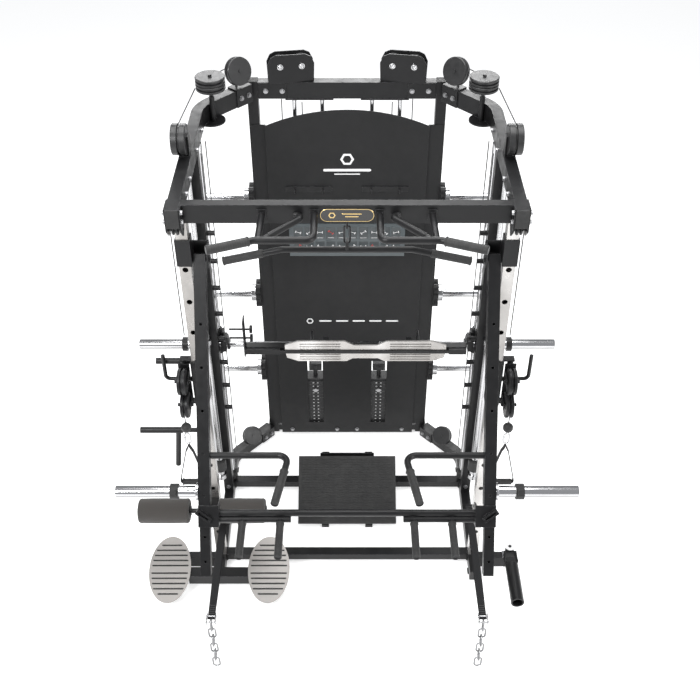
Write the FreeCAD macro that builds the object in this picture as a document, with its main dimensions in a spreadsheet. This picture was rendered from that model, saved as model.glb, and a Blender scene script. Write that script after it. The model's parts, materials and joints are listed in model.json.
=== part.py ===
import FreeCAD, Part
import math
import os
import re

import Sketcher
from FreeCAD import Placement, Rotation, Vector

# ---------------------------------------------------------------- driving dimensions (mm)
# +X is the machine's right, +Y its rear, +Z up. The origin is on the floor, on the plane of symmetry.
DIMENSIONS = {
    # cage
    "frame_top": 2260,
    "side_x": 664,
    "tube": 50,
    "wall": 3,
    "plate": 6,
    "beam_height": 80,
    "rail_height": 60,
    "pad": 5,
    "beam_front": -507,
    "rail_front": -485,
    "bend_y": 386,
    "bend_radius": 184,
    "joint_x": 463,
    "joint_y": 610,
    "rear_x": 443,
    "rear_y": 644,
    "front_beam_y": -449,
    "front_beam_depth": 40,
    "column_y": -346,
    "upright_y": 100,
    "front_bar_y": -343,
    "middle_bar_y": 176,
    "outrigger_end": 888,
    # hole row of the front columns, catch pegs of the uprights
    "hole_radius": 12,
    "hole_pitch": 164.5,
    "top_hole_z": 1893,
    "peg_radius": 12,
    "peg_length": 36,
    "peg_pitch": 154,
    "top_peg_z": 1769,
    # smith guide rods, bar and carriages
    "guide_x": 650,
    "guide_y": 184,
    "guide_radius": 15,
    "post_x": 690,
    "post_y": 30,
    "post_radius": 22.5,
    "bar_y": 147,
    "bar_z": 1078,
    "bar_radius": 14,
    "sleeve_radius": 25,
    "loading_radius": 24.6,
    "flange_x": 690,
    "collar_x": 800,
    "collar_width": 26,
    "bar_half_length": 1043,
    "running_gap": 0.05,
    # storage horns
    "bracket_depth": 26,
    "horn_radius": 24,
    "horn_length": 264,
    # rear shroud, board and weight stacks
    "panel_half_width": 393,
    "panel_y": 600,
    "panel_low": 18,
    "panel_side_top": 2048,
    "panel_top": 2132,
    "window_width": 87,
    "window_low": 102,
    "window_top": 583,
    "stack_x": 184,
    "stack_y": 650,
    "stack_width": 190,
    "stack_depth": 80,
    "plate_pitch": 26,
    "stack_low": 80,
    "rod_offset": 66,
    "rod_radius": 10,
    "selector_radius": 12,
    "pin_radius": 4,
    # press arms, drawn hanging straight down and leant forward about their pivot
    "arm_x": 605,
    "arm_lean": 31.7,
    "pivot_y": -335,
    "pivot_z": 1924,
    "pivot_radius": 10,
    "arm_length": 1046,
    "extension_end": 1353,
    "cross_tube_at": 1080,
    "weight_sleeve_at": 986,
    "handle_at": 829,
    # trainer
    "trainer_low": 1140,
    "trainer_height": 260,
    "swivel_x": 728,
    "lever_y": -322,
    "lever_z": 1258,
    "wheel_y": -430,
    "cable_y": -485.5,
    # lat bar and landmine
    "lat_y": -455,
    "lat_z": 2050,
    "landmine_x": 851,
    "landmine_y": -382,
    "pitch_y": -450,
    "pitch_z": 112,
    # leg rollers and strap arms
    "roller_y": -440,
    "roller_z": 490,
    "strap_low": 385,
    "strap_high": 421,
    "chain_y": -1030,
    "chain_z": 403,
}
FIXED_PLATES = 10
LIFTED_PLATES = 3
PEGS = 8
COLUMN_HOLES = 11

document = FreeCAD.newDocument("smith_machine")
sheet = document.addObject("Spreadsheet::Sheet", "Sizes")
for row, (alias, value) in enumerate(DIMENSIONS.items(), start=1):
    sheet.set(f"A{row}", alias.replace("_", " "))
    sheet.set(f"B{row}", str(value))
    sheet.setAlias(f"B{row}", alias)
document.recompute()

SUB_PARTS = []
WORD = re.compile(r"[a-z][a-z_]*")
ALONG = {"X": Rotation(Vector(0, 1, 0), 90), "Y": Rotation(Vector(1, 0, 0), -90), "Z": Rotation()}


# ---------------------------------------------------------------- helpers
def size(alias):
    """Read one driving dimension back from the sheet."""
    return float(sheet.get(alias))


def to_expression(amount):
    """Point every alias in a formula at its cell of the sheet."""
    return WORD.sub(lambda word: "Sizes." + word.group() if word.group() in DIMENSIONS else word.group(),
                    str(amount))


def bind(item, **formulas):
    """Bind properties of an object to formulas made of the sheet's aliases."""
    for name, amount in formulas.items():
        item.setExpression(name, to_expression(amount))


def place(item, x=0, y=0, z=0, turn=None):
    """Turn an object, then bind its place to three formulas."""
    if turn is not None:
        item.Placement = Placement(Vector(), turn)
    for axis, amount in zip("xyz", (x, y, z)):
        item.setExpression(f"Placement.Base.{axis}", to_expression(amount))
    return item


def block(x, y, z):
    """A box between three (low, high) pairs of formulas."""
    item = document.addObject("Part::Box", "block")
    bind(item, Length=f"({x[1]}) - ({x[0]})", Width=f"({y[1]}) - ({y[0]})", Height=f"({z[1]}) - ({z[0]})")
    return place(item, x[0], y[0], z[0])


def rod(radius, length, start, along="Z"):
    """A round bar of a given radius and length from a start point along X, Y or Z."""
    item = document.addObject("Part::Cylinder", "rod")
    bind(item, Radius=radius, Height=length)
    return place(item, *start, turn=ALONG[along])


def cut(base, *tools):
    """Take the tools away from the base."""
    item = document.addObject("Part::Cut", "cut")
    item.Base = base
    item.Tool = tools[0] if len(tools) == 1 else group(*tools)
    return item


def fuse(*pieces):
    """Join pieces into one solid."""
    item = document.addObject("Part::MultiFuse", "weld")
    item.Shapes = list(pieces)
    item.Refine = True
    return item


def group(*pieces):
    """Keep pieces together as separate solids."""
    item = document.addObject("Part::Compound", "group")
    item.Links = list(pieces)
    return item


def mirrored(piece):
    """The same piece on the other side of the machine."""
    item = document.addObject("Part::Mirroring", "mirror")
    item.Source = piece
    item.Normal = Vector(1, 0, 0)
    return item


def pair(piece):
    """A right-hand piece together with its left-hand mirror image."""
    return group(piece, mirrored(piece))


def square_tube(x, y, z, open_along="Z"):
    """A square tube whose wall is the sheet's wall, open at both ends."""
    inner = [(f"({low}) + wall", f"({high}) - wall") for low, high in (x, y, z)]
    index = "XYZ".index(open_along)
    low, high = (x, y, z)[index]
    inner[index] = (f"({low}) - 1", f"({high}) + 1")
    return cut(block(x, y, z), block(*inner))


def ring(outer, inner, length, start, along="Z"):
    """A round sleeve."""
    hole = rod(inner, f"({length}) + 2", start, along)
    shift = {"X": (-1, 0, 0), "Y": (0, -1, 0), "Z": (0, 0, -1)}[along]
    place(hole, *[f"({a}) + ({b})" for a, b in zip(start, shift)], turn=ALONG[along])
    return cut(rod(outer, length, start, along), hole)


def drawn(shape):
    """A piece whose shape is worked out with Part's own functions."""
    item = document.addObject("Part::Feature", "drawn")
    item.Shape = shape
    return item


def sketch_on(body, role, outlines, offset=0):
    """Draw closed outlines on one of a body's origin planes, every corner bound to two formulas.

    An outline is a list of (across, up) formulas, or one (across, up, radius) circle.
    """
    sketch = body.newObject("Sketcher::SketchObject", "sketch")
    plane = next(item for item in body.Origin.OriginFeatures if item.Role == role)
    sketch.AttachmentSupport = [(plane, "")]
    sketch.MapMode = "FlatFace"
    sketch.setExpression("AttachmentOffset.Base.z", to_expression(offset))
    for outline in outlines:
        if isinstance(outline, tuple):
            add_circle(sketch, *outline)
        else:
            add_polygon(sketch, outline)
    return sketch


def hold(sketch, kind, *target):
    """Add one dimension to a sketch and bind it to the formula given last."""
    number = sketch.addConstraint(Sketcher.Constraint(kind, *target[:-1], 1.0))
    sketch.setExpression(f"Constraints[{number}]", to_expression(target[-1]))


def add_circle(sketch, across, up, radius):
    circle = sketch.addGeometry(Part.Circle(Vector(number_of(across), number_of(up), 0), Vector(0, 0, 1),
                                            number_of(radius)))
    hold(sketch, "DistanceX", -1, 1, circle, 3, across)
    hold(sketch, "DistanceY", -1, 1, circle, 3, up)
    hold(sketch, "Radius", circle, radius)


def add_polygon(sketch, corners):
    points = [Vector(number_of(across), number_of(up), 0) for across, up in corners]
    first = sketch.GeometryCount
    count = len(points)
    for index in range(count):
        sketch.addGeometry(Part.LineSegment(points[index], points[(index + 1) % count]))
    for index in range(count):
        following = first + (index + 1) % count
        sketch.addConstraint(Sketcher.Constraint("Coincident", first + index, 2, following, 1))
    for index, (across, up) in enumerate(corners):
        hold(sketch, "DistanceX", -1, 1, first + index, 1, across)
        hold(sketch, "DistanceY", -1, 1, first + index, 1, up)


probe = document.addObject("Part::Box", "probe")


def number_of(formula):
    """Work a formula out by letting the document evaluate it."""
    probe.setExpression("Placement.Base.x", to_expression(formula))
    probe.recompute()
    return probe.Placement.Base.x


def padded(role, outlines, thickness, offset=0, backwards=False):
    """A flat plate: outlines on a plane, padded to a thickness."""
    body = document.addObject("PartDesign::Body", "plate")
    sketch = sketch_on(body, role, outlines, offset)
    pad = body.newObject("PartDesign::Pad", "pad")
    pad.Profile = sketch
    pad.Reversed = backwards
    pad.setExpression("Length", to_expression(thickness))
    body.Tip = pad
    return body


def turned(outline, role="XZ_Plane"):
    """A round part: an outline revolved about the sketch's vertical axis."""
    body = document.addObject("PartDesign::Body", "turned")
    sketch = sketch_on(body, role, [outline])
    revolution = body.newObject("PartDesign::Revolution", "revolution")
    revolution.Profile = sketch
    revolution.ReferenceAxis = (sketch, ["V_Axis"])
    revolution.Angle = 360
    body.Tip = revolution
    return body


def path(points, bend):
    """A wire through the points whose corners are rounded to a bend radius."""
    points = [Vector(*point) for point in points]
    edges = []
    start = points[0]
    for before, corner, after in zip(points, points[1:], points[2:]):
        incoming = (corner - before).normalize()
        outgoing = (after - corner).normalize()
        half_turn = incoming.getAngle(outgoing) / 2
        reach = bend * math.tan(half_turn)
        entry = corner - incoming * reach
        leave = corner + outgoing * reach
        inward = (outgoing - incoming).normalize()
        middle = corner + inward * (bend / math.cos(half_turn) - bend)
        if (entry - start).Length > 1e-6:
            edges.append(Part.LineSegment(start, entry).toShape())
        edges.append(Part.Arc(entry, middle, leave).toShape())
        start = leave
    if (points[-1] - start).Length > 1e-6:
        edges.append(Part.LineSegment(start, points[-1]).toShape())
    return Part.Wire(edges)


def bent_rod(points, radius, bend, inner=0):
    """A round tube or bar bent along a path."""
    spine = path(points, bend)
    start = Vector(*points[0])
    towards = Vector(*points[1]) - start

    def swept(section_radius):
        section = Part.Wire(Part.Circle(start, towards, section_radius).toShape())
        return spine.makePipeShell([section], True, False)

    shape = swept(radius)
    return shape.cut(swept(inner)) if inner else shape


def bent_square(points, half_width, low, high, bend, wall):
    """A flat-lying rectangular tube bent along a path in plan."""
    def swept(inset):
        spine = path([(x, y, 0) for x, y in points], bend)
        x, y = points[0]
        half = half_width - inset
        corners = [Vector(x + dx, y, z) for dx, z in
                   ((-half, low + inset), (half, low + inset), (half, high - inset), (-half, high - inset))]
        section = Part.makePolygon(corners + corners[:1])
        return spine.makePipeShell([section], True, False)

    return swept(0).cut(swept(wall))


def sub_part(name, item):
    """Name a finished sub-part; its label names its file."""
    item.Label = name
    SUB_PARTS.append(item)
    return item


# ---------------------------------------------------------------- places used more than once
RAIL_LOW = "pad"
RAIL_TOP = "(pad + rail_height)"
BEAM_LOW = "(frame_top - beam_height)"
INNER = "(side_x - tube/2)"
OUTER = "(side_x + tube/2)"
REAR_INNER = "(rear_x - tube/2)"
REAR_OUTER = "(rear_x + tube/2)"
REAR_FRONT = "(rear_y - tube/2)"
REAR_BACK = "(rear_y + tube/2)"
STACK_RODS = ("stack_x - rod_offset", "stack_x + rod_offset")
HORN_HEIGHTS = ("1633", "1035", "501")
ANGLED_PLAN = [(size("side_x"), 0), (size("side_x"), size("bend_y")), (size("joint_x"), size("joint_y"))]


def plan(front):
    """The plan view of one side frame from a front end to the rear joint."""
    return [(size("side_x"), front)] + ANGLED_PLAN[1:]


def joint_sleeve(low, high):
    """The bracket that wraps the angled end of a side tube, with a plate on each side and on top."""
    bend = Vector(*ANGLED_PLAN[1], 0)
    end = Vector(*ANGLED_PLAN[2], 0)
    back = (bend - end).normalize()
    across = Vector(-back.y, back.x, 0)
    half = size("tube") / 2
    reach = 95
    thick = size("plate")

    def slab(near, far, bottom, top):
        corners = [end + across * near, end + across * far,
                   end + across * far + back * reach, end + across * near + back * reach]
        face = Part.Face(Part.makePolygon(corners + corners[:1]))
        face.translate(Vector(0, 0, bottom))
        return face.extrude(Vector(0, 0, top - bottom))

    outside = slab(-half - thick, half + thick, low, high + thick)
    return outside.cut(slab(-half, half, low - 1, high))


def joint_foot(low, high):
    """The flat plate by which a joint sleeve is welded against the rear upright."""
    return block((REAR_OUTER, f"{REAR_OUTER} + plate"), ("600", REAR_BACK), (low, high))


# ---------------------------------------------------------------- cage
def base_rail():
    """A side rail with its outrigger and the sleeve that bolts it to the rear upright."""
    low, high = size("pad"), size("pad") + size("rail_height")
    rail = drawn(bent_square(plan(size("rail_front")), size("tube") / 2, low, high, 120, size("wall")))
    outrigger = square_tube((OUTER, "outrigger_end"), ("-402", "-362"), (RAIL_LOW, f"{RAIL_TOP} + 12"), "X")
    end_plate = block((OUTER, f"{OUTER} + plate"), ("-420", "-344"), (RAIL_LOW, f"{RAIL_TOP} + 12"))
    sleeve = drawn(joint_sleeve(low, high))
    return fuse(rail, outrigger, end_plate, sleeve, joint_foot(RAIL_LOW, RAIL_TOP))


def top_side_beam():
    """A top side beam with its round bend, rear sleeve, front ear and the shelf under the bend."""
    low = size("frame_top") - size("beam_height")
    beam = drawn(bent_square(plan(size("beam_front")), size("tube") / 2, low, size("frame_top"),
                             size("bend_radius"), size("wall")))
    sleeve = drawn(joint_sleeve(low, size("frame_top")))
    shelf = rod("62", "plate", ("612", "402", f"{BEAM_LOW} - plate"))
    return fuse(beam, sleeve, shelf, ear(OUTER), joint_foot(BEAM_LOW, "frame_top"))


def ear(inner_face):
    """A plate with a pointed lower end that carries one side of the front cable pulley."""
    outline = [("-505", "frame_top"), ("-425", "frame_top"), ("-425", f"{BEAM_LOW} - 20"),
               ("-465", f"{BEAM_LOW} - 60"), ("-505", f"{BEAM_LOW} - 20")]
    return padded("YZ_Plane", [outline, ("-465", f"{BEAM_LOW} - 30", "8.3")], "plate", inner_face)


def front_top_beam():
    """The front cross beam between two end plates."""
    depth = ("front_beam_y - front_beam_depth/2", "front_beam_y + front_beam_depth/2")
    beam = square_tube((f"-({INNER} - plate)", f"{INNER} - plate"), depth, (BEAM_LOW, "frame_top"), "X")
    end = ear(f"{INNER} - plate")
    eye = document.addObject("Part::Torus", "eye")
    bind(eye, Radius1="13", Radius2="4")
    place(eye, "0", "lat_y", f"{BEAM_LOW} - 16", turn=ALONG["X"])
    return fuse(beam, end, mirrored(end), eye)


def rear_top_beam():
    """The rear cross beam with end plates and the plates that splice it to the uprights."""
    inner_end = f"({REAR_INNER} - plate)"
    beam = square_tube((f"-{inner_end}", inner_end), (REAR_FRONT, REAR_BACK), (BEAM_LOW, "frame_top"), "X")
    end = block((inner_end, REAR_INNER), (REAR_FRONT, REAR_BACK), (BEAM_LOW, "frame_top"))
    splice = block(("284", inner_end), (f"{REAR_FRONT} - plate", REAR_FRONT),
                   (f"{BEAM_LOW} + 2", "frame_top - 2"))
    shelf = block(("64", "290"), (f"{REAR_FRONT} - 4", f"{REAR_BACK}"), (f"{BEAM_LOW} - plate", BEAM_LOW))
    rod_holes = [rod("rod_radius + running_gap", "20", (x, "stack_y", f"{BEAM_LOW} - 10"))
                 for x in STACK_RODS]
    shelf = cut(shelf, *rod_holes)
    return fuse(beam, end, mirrored(end), splice, mirrored(splice), shelf, mirrored(shelf))


def rear_upright():
    """A rear upright with the lobed plates that carry the storage horns."""
    tube = square_tube((REAR_INNER, REAR_OUTER), (REAR_FRONT, REAR_BACK), (RAIL_LOW, "frame_top"))
    return fuse(tube, *[horn_bracket(z) for z in HORN_HEIGHTS])


def horn_bracket(z):
    """A thick round boss with four lobes."""
    lobes = [rod("26", "bracket_depth", (REAR_OUTER, f"rear_y + {dy}", f"{z} + {dz}"), "X")
             for dy, dz in ((-24, 44), (24, 44), (-24, -44), (24, -44))]
    return fuse(rod("46", "bracket_depth", (REAR_OUTER, "rear_y", z), "X"), *lobes)


def front_column():
    """A silver column with a row of holes through its front and back walls."""
    column = square_tube((INNER, OUTER), ("column_y - tube/2", "column_y + tube/2"), (RAIL_TOP, BEAM_LOW))
    heights = [f"top_hole_z - {step} * hole_pitch" for step in range(COLUMN_HOLES)]
    holes = [rod("hole_radius", "tube + 2", ("side_x", "column_y - tube/2 - 1", z), "Y") for z in heights]
    return cut(column, *holes)


def middle_upright():
    """An upright with the smith catch pegs welded to its inner face."""
    column = square_tube((INNER, OUTER), ("upright_y - tube/2", "upright_y + tube/2"), (RAIL_TOP, BEAM_LOW))
    heights = [f"top_peg_z - {step} * peg_pitch" for step in range(PEGS)]
    pegs = [rod("peg_radius", "peg_length", (f"{INNER} - peg_length", "upright_y", z), "X") for z in heights]
    return fuse(column, *pegs)


def base_crossbars():
    """Crossbars between end plates; the middle one carries the stand and skids of the footplate."""
    def crossbar(centre, reach):
        near, far = f"{centre} - tube/2", f"{centre} + tube/2"
        bar = square_tube((f"-({reach} - plate)", f"{reach} - plate"), (near, far), ("20", "60"), "X")
        end = block((f"{reach} - plate", reach), (near, far), ("12", "62"))
        return fuse(bar, end, mirrored(end))

    legs = [block((x, f"{x} + 40"), ("178", "194"), ("60", "262")) for x in ("-140", "100")]
    strip = block(("-150", "150"), ("178", "186"), ("214", "262"))
    skids = [block((x, f"{x} + 40"), ("-130", "196"), ("0", "20")) for x in ("-140", "100")]
    cross_skid = block(("-110", "110"), ("-20", "20"), ("0", "20"))
    middle = fuse(crossbar("middle_bar_y", INNER), *legs, strip, *skids, cross_skid)
    return group(crossbar("front_bar_y", INNER), middle, crossbar("rear_y", REAR_INNER))


def feet_and_caps():
    """Rubber feet, buffers on the rods and under the stacks, and the plugs in open tube ends."""
    spots = [("side_x", "-430"), ("side_x", "300"), ("rear_x", "rear_y"), ("outrigger_end - 30", "-382")]
    feet = [block((f"{x} - 30", f"{x} + 30"), (f"{y} - 18", f"{y} + 18"), ("0", "pad")) for x, y in spots]
    on_post = ring("34", "post_radius", "70", ("post_x", "post_y", "300"))
    on_guide = ring("26", "guide_radius", "50", ("guide_x", "guide_y", f"{RAIL_TOP} + 12"))
    under_stack = [ring("20", "rod_radius", "20", (x, "stack_y", "60")) for x in STACK_RODS]
    caps = [block((INNER, OUTER), ("beam_front - 4", "beam_front"), (BEAM_LOW, "frame_top")),
            block((REAR_INNER, REAR_OUTER), (REAR_FRONT, REAR_BACK), ("frame_top", "frame_top + 4")),
            block(("outrigger_end", "outrigger_end + 4"), ("-402", "-362"), (RAIL_LOW, f"{RAIL_TOP} + 12"))]
    right_rail = block((INNER, OUTER), ("rail_front - 4", "rail_front"), (RAIL_LOW, RAIL_TOP))
    dome = rod("20", "12", ("-851", "-382", f"{RAIL_TOP} + 12"))
    both_sides = feet + [on_post, on_guide] + under_stack + caps
    return group(*[pair(piece) for piece in both_sides], right_rail, dome)


def guide_rods():
    """Chrome rods of the smith unit and of the weight stacks, and the two front posts."""
    smith = rod("guide_radius", f"{BEAM_LOW} - {RAIL_TOP}", ("guide_x", "guide_y", RAIL_TOP))
    post = rod("post_radius", f"{BEAM_LOW} - 230", ("post_x", "post_y", "230"))
    stack = [rod("rod_radius", f"{BEAM_LOW} - 60", (x, "stack_y", "60")) for x in STACK_RODS]
    post = fuse(post, *[rod_clamp(z) for z in ("236", "1180", "2110")])
    return group(pair(smith), pair(post), *[pair(piece) for piece in stack])


def rod_clamp(z):
    """A split collar that holds a front post against the middle upright."""
    collar = ring("30", "post_radius", "26", ("post_x", "post_y", z))
    tab = block(("post_x - 18", OUTER), ("post_y + 28", "upright_y - tube/2"), (z, f"{z} + 26"))
    return fuse(collar, tab)


# ---------------------------------------------------------------- rear shroud and stacks
def back_panel():
    """The shroud: an arched sheet with two windows, its side flanges and the strips on the uprights."""
    half = "panel_half_width"
    outline = [(f"-{half}", "panel_low"), (half, "panel_low"), (half, "panel_side_top"),
               (f"-{half}", "panel_side_top")]
    windows = []
    for sign in ("", "-"):
        near, far = (f"{sign}(stack_x {side} window_width/2)" for side in "-+")
        windows.append([(far, "window_low"), (near, "window_low"), (near, "window_top"), (far, "window_top")])
    sheet_metal = padded("XZ_Plane", [outline, *windows], "4", "-(panel_y + 4)")
    left = Vector(-size("panel_half_width"), size("panel_y"), size("panel_side_top"))
    right = Vector(size("panel_half_width"), size("panel_y"), size("panel_side_top"))
    crown = Vector(0, size("panel_y"), size("panel_top"))
    edges = [Part.Arc(left, crown, right).toShape(), Part.LineSegment(right, left).toShape()]
    cap = Part.Face(Part.Wire(edges))
    arch = drawn(cap.extrude(Vector(0, 4, 0)))
    side = block((f"{half} - 4", half), ("panel_y + 4", REAR_FRONT), ("panel_low", "panel_side_top"))
    strip = block((half, f"{REAR_OUTER} - 10"), (f"{REAR_FRONT} - 4", REAR_FRONT), ("80", "panel_side_top"))
    return group(fuse(sheet_metal, arch), pair(side), pair(strip))


def exercise_board():
    """A thin board on four studs in front of the shroud."""
    outline = [("-298", "1311"), ("298", "1311"), ("298", "1508"), ("-298", "1508")]
    board = padded("XZ_Plane", [outline], "3", "-(panel_y - 6)")
    studs = [rod("6", "6", (x, "panel_y - 6", z), "Y") for x in ("-270", "270") for z in ("1335", "1485")]
    return fuse(board, *studs)


def accessory_hooks():
    """Two hook rails high on the shroud."""
    rail = block(("75", "305"), ("panel_y - 4", "panel_y"), ("1692", "1722"))
    wall, tip = size("panel_y") - 2, size("panel_y") - 34
    hooks = [drawn(bent_rod([(x, wall, 1700), (x, tip, 1700), (x, tip, 1724)], 4, 8)) for x in (120, 260)]
    return pair(fuse(rail, *hooks))


def plate_block(low, count, rod_hole):
    """A pile of cast plates cut from one block by thin gaps, bored for two guide rods and the selector."""
    depth = ("stack_y - stack_depth/2 + 4", "stack_y + stack_depth/2 + 4")
    across = ("stack_x - stack_width/2", "stack_x + stack_width/2")
    pile = block(across, depth, (low, f"{low} + {count} * plate_pitch - 1"))
    tools = [rod(rod_hole, f"{count} * plate_pitch + 2", (x, "stack_y", f"{low} - 1")) for x in STACK_RODS]
    below = ("stack_x", "stack_y", f"{low} - 1")
    tools.append(rod("selector_radius + 1", f"{count} * plate_pitch + 2", below))
    wide = ("stack_x - stack_width", "stack_x + stack_width")
    long = ("stack_y - stack_depth", "stack_y + stack_depth")
    for step in range(1, count):
        level = f"{low} + {step} * plate_pitch"
        tools.append(block(wide, long, (f"{level} - 1", level)))
    for step in range(count):
        middle = f"{low} + ({step} + 0.5) * plate_pitch - 0.5"
        front = ("stack_x", "stack_y - stack_depth/2", middle)
        tools.append(rod("pin_radius + 0.5", "stack_depth/2", front, "Y"))
    return cut(pile, *tools)


LIFTED_LOW = f"(stack_low + {FIXED_PLATES} * plate_pitch)"
PIN_Z = f"({LIFTED_LOW} + plate_pitch/2 - 0.5)"
STACK_TOP = f"({LIFTED_LOW} + {LIFTED_PLATES} * plate_pitch)"
CABLE_BLOCK_Z = f"({STACK_TOP} + 67)"


def resting_plates():
    """The plates that stay down on both stacks."""
    return pair(plate_block("stack_low", FIXED_PLATES, "rod_radius + 1"))


def lifted_stack():
    """The plates above the pin, the head plate and the selector rod with the cable block on its top."""
    plates = plate_block(LIFTED_LOW, LIFTED_PLATES, "rod_radius + 1")
    head = block(("stack_x - stack_width/2", "stack_x + stack_width/2"),
                 ("stack_y - stack_depth/2 + 8", "stack_y + stack_depth/2"),
                 (STACK_TOP, f"{STACK_TOP} + 16"))
    bushes = [rod("rod_radius + running_gap", "26", (x, "stack_y", f"{STACK_TOP} - 5")) for x in STACK_RODS]
    foot = ("stack_x", "stack_y", "stack_low + 4")
    selector = rod("selector_radius", f"{CABLE_BLOCK_Z} - stack_low", foot)
    cable_block = block(("stack_x - 36", "stack_x + 36"), ("stack_y - 18", "stack_y + 18"),
                        (CABLE_BLOCK_Z, f"{CABLE_BLOCK_Z} + 50"))
    bolt = rod("9", "44", ("stack_x", "stack_y - 22", f"{CABLE_BLOCK_Z} + 25"), "Y")
    pin_hole = rod("pin_radius + running_gap", "2 * selector_radius + 2",
                   ("stack_x", "stack_y - selector_radius - 1", PIN_Z), "Y")
    return group(plates, cut(fuse(selector, cut(head, *bushes), cable_block, bolt), pin_hole))


def selector_pin():
    """The pin under the lifted plates, with a flat winged knob behind the shroud window."""
    shank = rod("pin_radius", "44", ("stack_x", "panel_y + 12", PIN_Z), "Y")
    knob = rod("13", "6", ("stack_x", "panel_y + 6", PIN_Z), "Y")
    wing = block(("stack_x - 17", "stack_x + 17"), ("panel_y + 6", "panel_y + 10"),
                 (f"{PIN_Z} - 3", f"{PIN_Z} + 3"))
    return fuse(shank, knob, wing)


def plate_horns():
    """Chrome horns with a wide root flange, for storing plates."""
    roots = [(f"{REAR_OUTER} + bracket_depth", "rear_y", z) for z in HORN_HEIGHTS]
    horns = [fuse(rod("horn_radius", "horn_length", root, "X"), rod("45", "24", root, "X")) for root in roots]
    return group(*[pair(horn) for horn in horns])


# ---------------------------------------------------------------- pulleys and cables
def pulley(radius, width):
    """A grooved wheel about Z with covers on both faces, its middle on the origin."""
    half = f"{width}/2"
    outline = [("8.2", f"-{half}"), (f"{radius} - 3", f"-{half}"), (radius, f"-{half} + 3"), (radius, "-5"),
               (f"{radius} - 8", "-2"), (f"{radius} - 8", "2"), (radius, "5"), (radius, f"{half} - 3"),
               (f"{radius} - 3", half), ("8.2", half)]
    return turned(outline)


def wheel(radius, width, centre, turn=None):
    """A pulley on its axle."""
    axle = rod("8", f"{width} + 34", ("0", "0", f"-{width}/2 - 17"))
    both = group(pulley(radius, width), axle)
    return place(both, *centre, turn=turn)


def housing_turn():
    return Rotation(Vector(0, 0, 1), -9)


def pulley_housings():
    """Rounded plates on the rear beam that carry two pulleys a side, and the brackets of the others."""
    def side_plate(front):
        outline = [("-105", "0"), ("105", "0"), ("108", "90"), ("92", "122"), ("66", "134"), ("-66", "134"),
                   ("-92", "122"), ("-108", "90")]
        bores = [("-50", "78", "8.3"), ("50", "78", "8.3")]
        plate_body = padded("XZ_Plane", [outline, *bores], "5", f"-({front} + 5)")
        return plate_body

    foot = block(("-105", "105"), ("-22", "22"), ("0", "5"))
    housing = fuse(side_plate("-27"), side_plate("22"), foot)
    place(housing, "262", "rear_y", "frame_top", turn=housing_turn())
    top_bracket = fuse(block(("642", "650"), ("-94", "-54"), ("frame_top", "2350")),
                       block(("642", "686"), ("-94", "-54"), ("frame_top", "frame_top + 6")))
    top_bracket = cut(top_bracket, rod("8", "20", ("636", "-74", "2330"), "X"))
    bend_post = rod("12", "118", ("603", "396", f"{BEAM_LOW}"))
    return group(pair(housing), pair(top_bracket), pair(bend_post))


def wheel_on_leg(radius, width, centre, axis, foot_z):
    """A slanted pulley whose axle ends in a leg that stands on the frame below."""
    centre, axis = Vector(*centre), Vector(*axis).normalize()
    end = centre - axis * (width / 2 + 7)
    axle = Part.makeCylinder(8, width + 12, end, axis)
    leg = Part.makeCylinder(5, end.z - foot_z, Vector(end.x, end.y, foot_z))
    turn = Rotation(Vector(0, 0, 1), axis)
    grooved = place(pulley(str(radius), str(width)), centre.x, centre.y, centre.z, turn=turn)
    return group(grooved, drawn(axle.fuse(leg)))


def fixed_pulleys():
    """Return pulleys in the rear housings, over the bends, in the front ears and near the floor."""
    in_housing = []
    for offset in (-50, 50):
        foot = Vector(262, size("rear_y"), size("frame_top"))
        centre = foot + housing_turn().multVec(Vector(offset, 0, 78))
        turn = housing_turn().multiply(ALONG["Y"])
        in_housing.append(wheel("48", "30", (centre.x, centre.y, centre.z), turn))
    upper = place(pulley("66", "30"), "0", "0", "31")
    over_bend = place(group(pulley("66", "30"), upper), "603", "396", "2346")
    post_top = rod("8", "102", ("603", "396", f"{BEAM_LOW} + 118"))
    in_ear = wheel("23", "26", ("side_x", "-465", f"{BEAM_LOW} - 30"), ALONG["X"])
    tilted = wheel_on_leg(64, 34, (497, 568, 2338), (-0.62, -0.72, 0.3), size("frame_top") + size("plate"))
    rail_top = size("pad") + size("rail_height")
    near_floor = wheel_on_leg(56, 34, (560, 455, 130), (-0.5, -0.6, 0.62), rail_top)
    top_axle = rod("8", "74", ("642", "-74", "2330"), "X")
    others = [over_bend, post_top, in_ear, tilted, near_floor, top_axle]
    return group(*[pair(piece) for piece in in_housing + others])


def top_pulleys():
    """The pair of wide pulleys that stand on the side beams and turn on one line."""
    return pair(place(pulley("64", "60"), "680", "-74", "2330", turn=ALONG["X"]))


def cables():
    """Steel cables between the pulleys, drawn as short round bars with clear ends."""
    def run(*points):
        return drawn(bent_rod(points, 2.5, 6))

    stack_top = number_of(f"{STACK_TOP} + 92")
    top = size("frame_top")
    runs = [
        run((212, 609, stack_top), (212, 609, top - size("beam_height") - 12)),
        run((310, 640, 640), (310, 640, top - size("beam_height") - 12)),
        run((600, 470, 2362), (550, 514, 2372)),
        run((664, 340, 2358), (700, 10, 2344)),
        run((702, -385, 2166), (702, -385, 1560)),
        run((622, 215, 190), (622, 215, 2170)),
        run((628, 100, 2172), (628, 100, 1800)),
    ]
    return group(*[pair(piece) for piece in runs])


# ---------------------------------------------------------------- smith unit
BAR_AXIS = ("bar_y", "bar_z")


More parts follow.
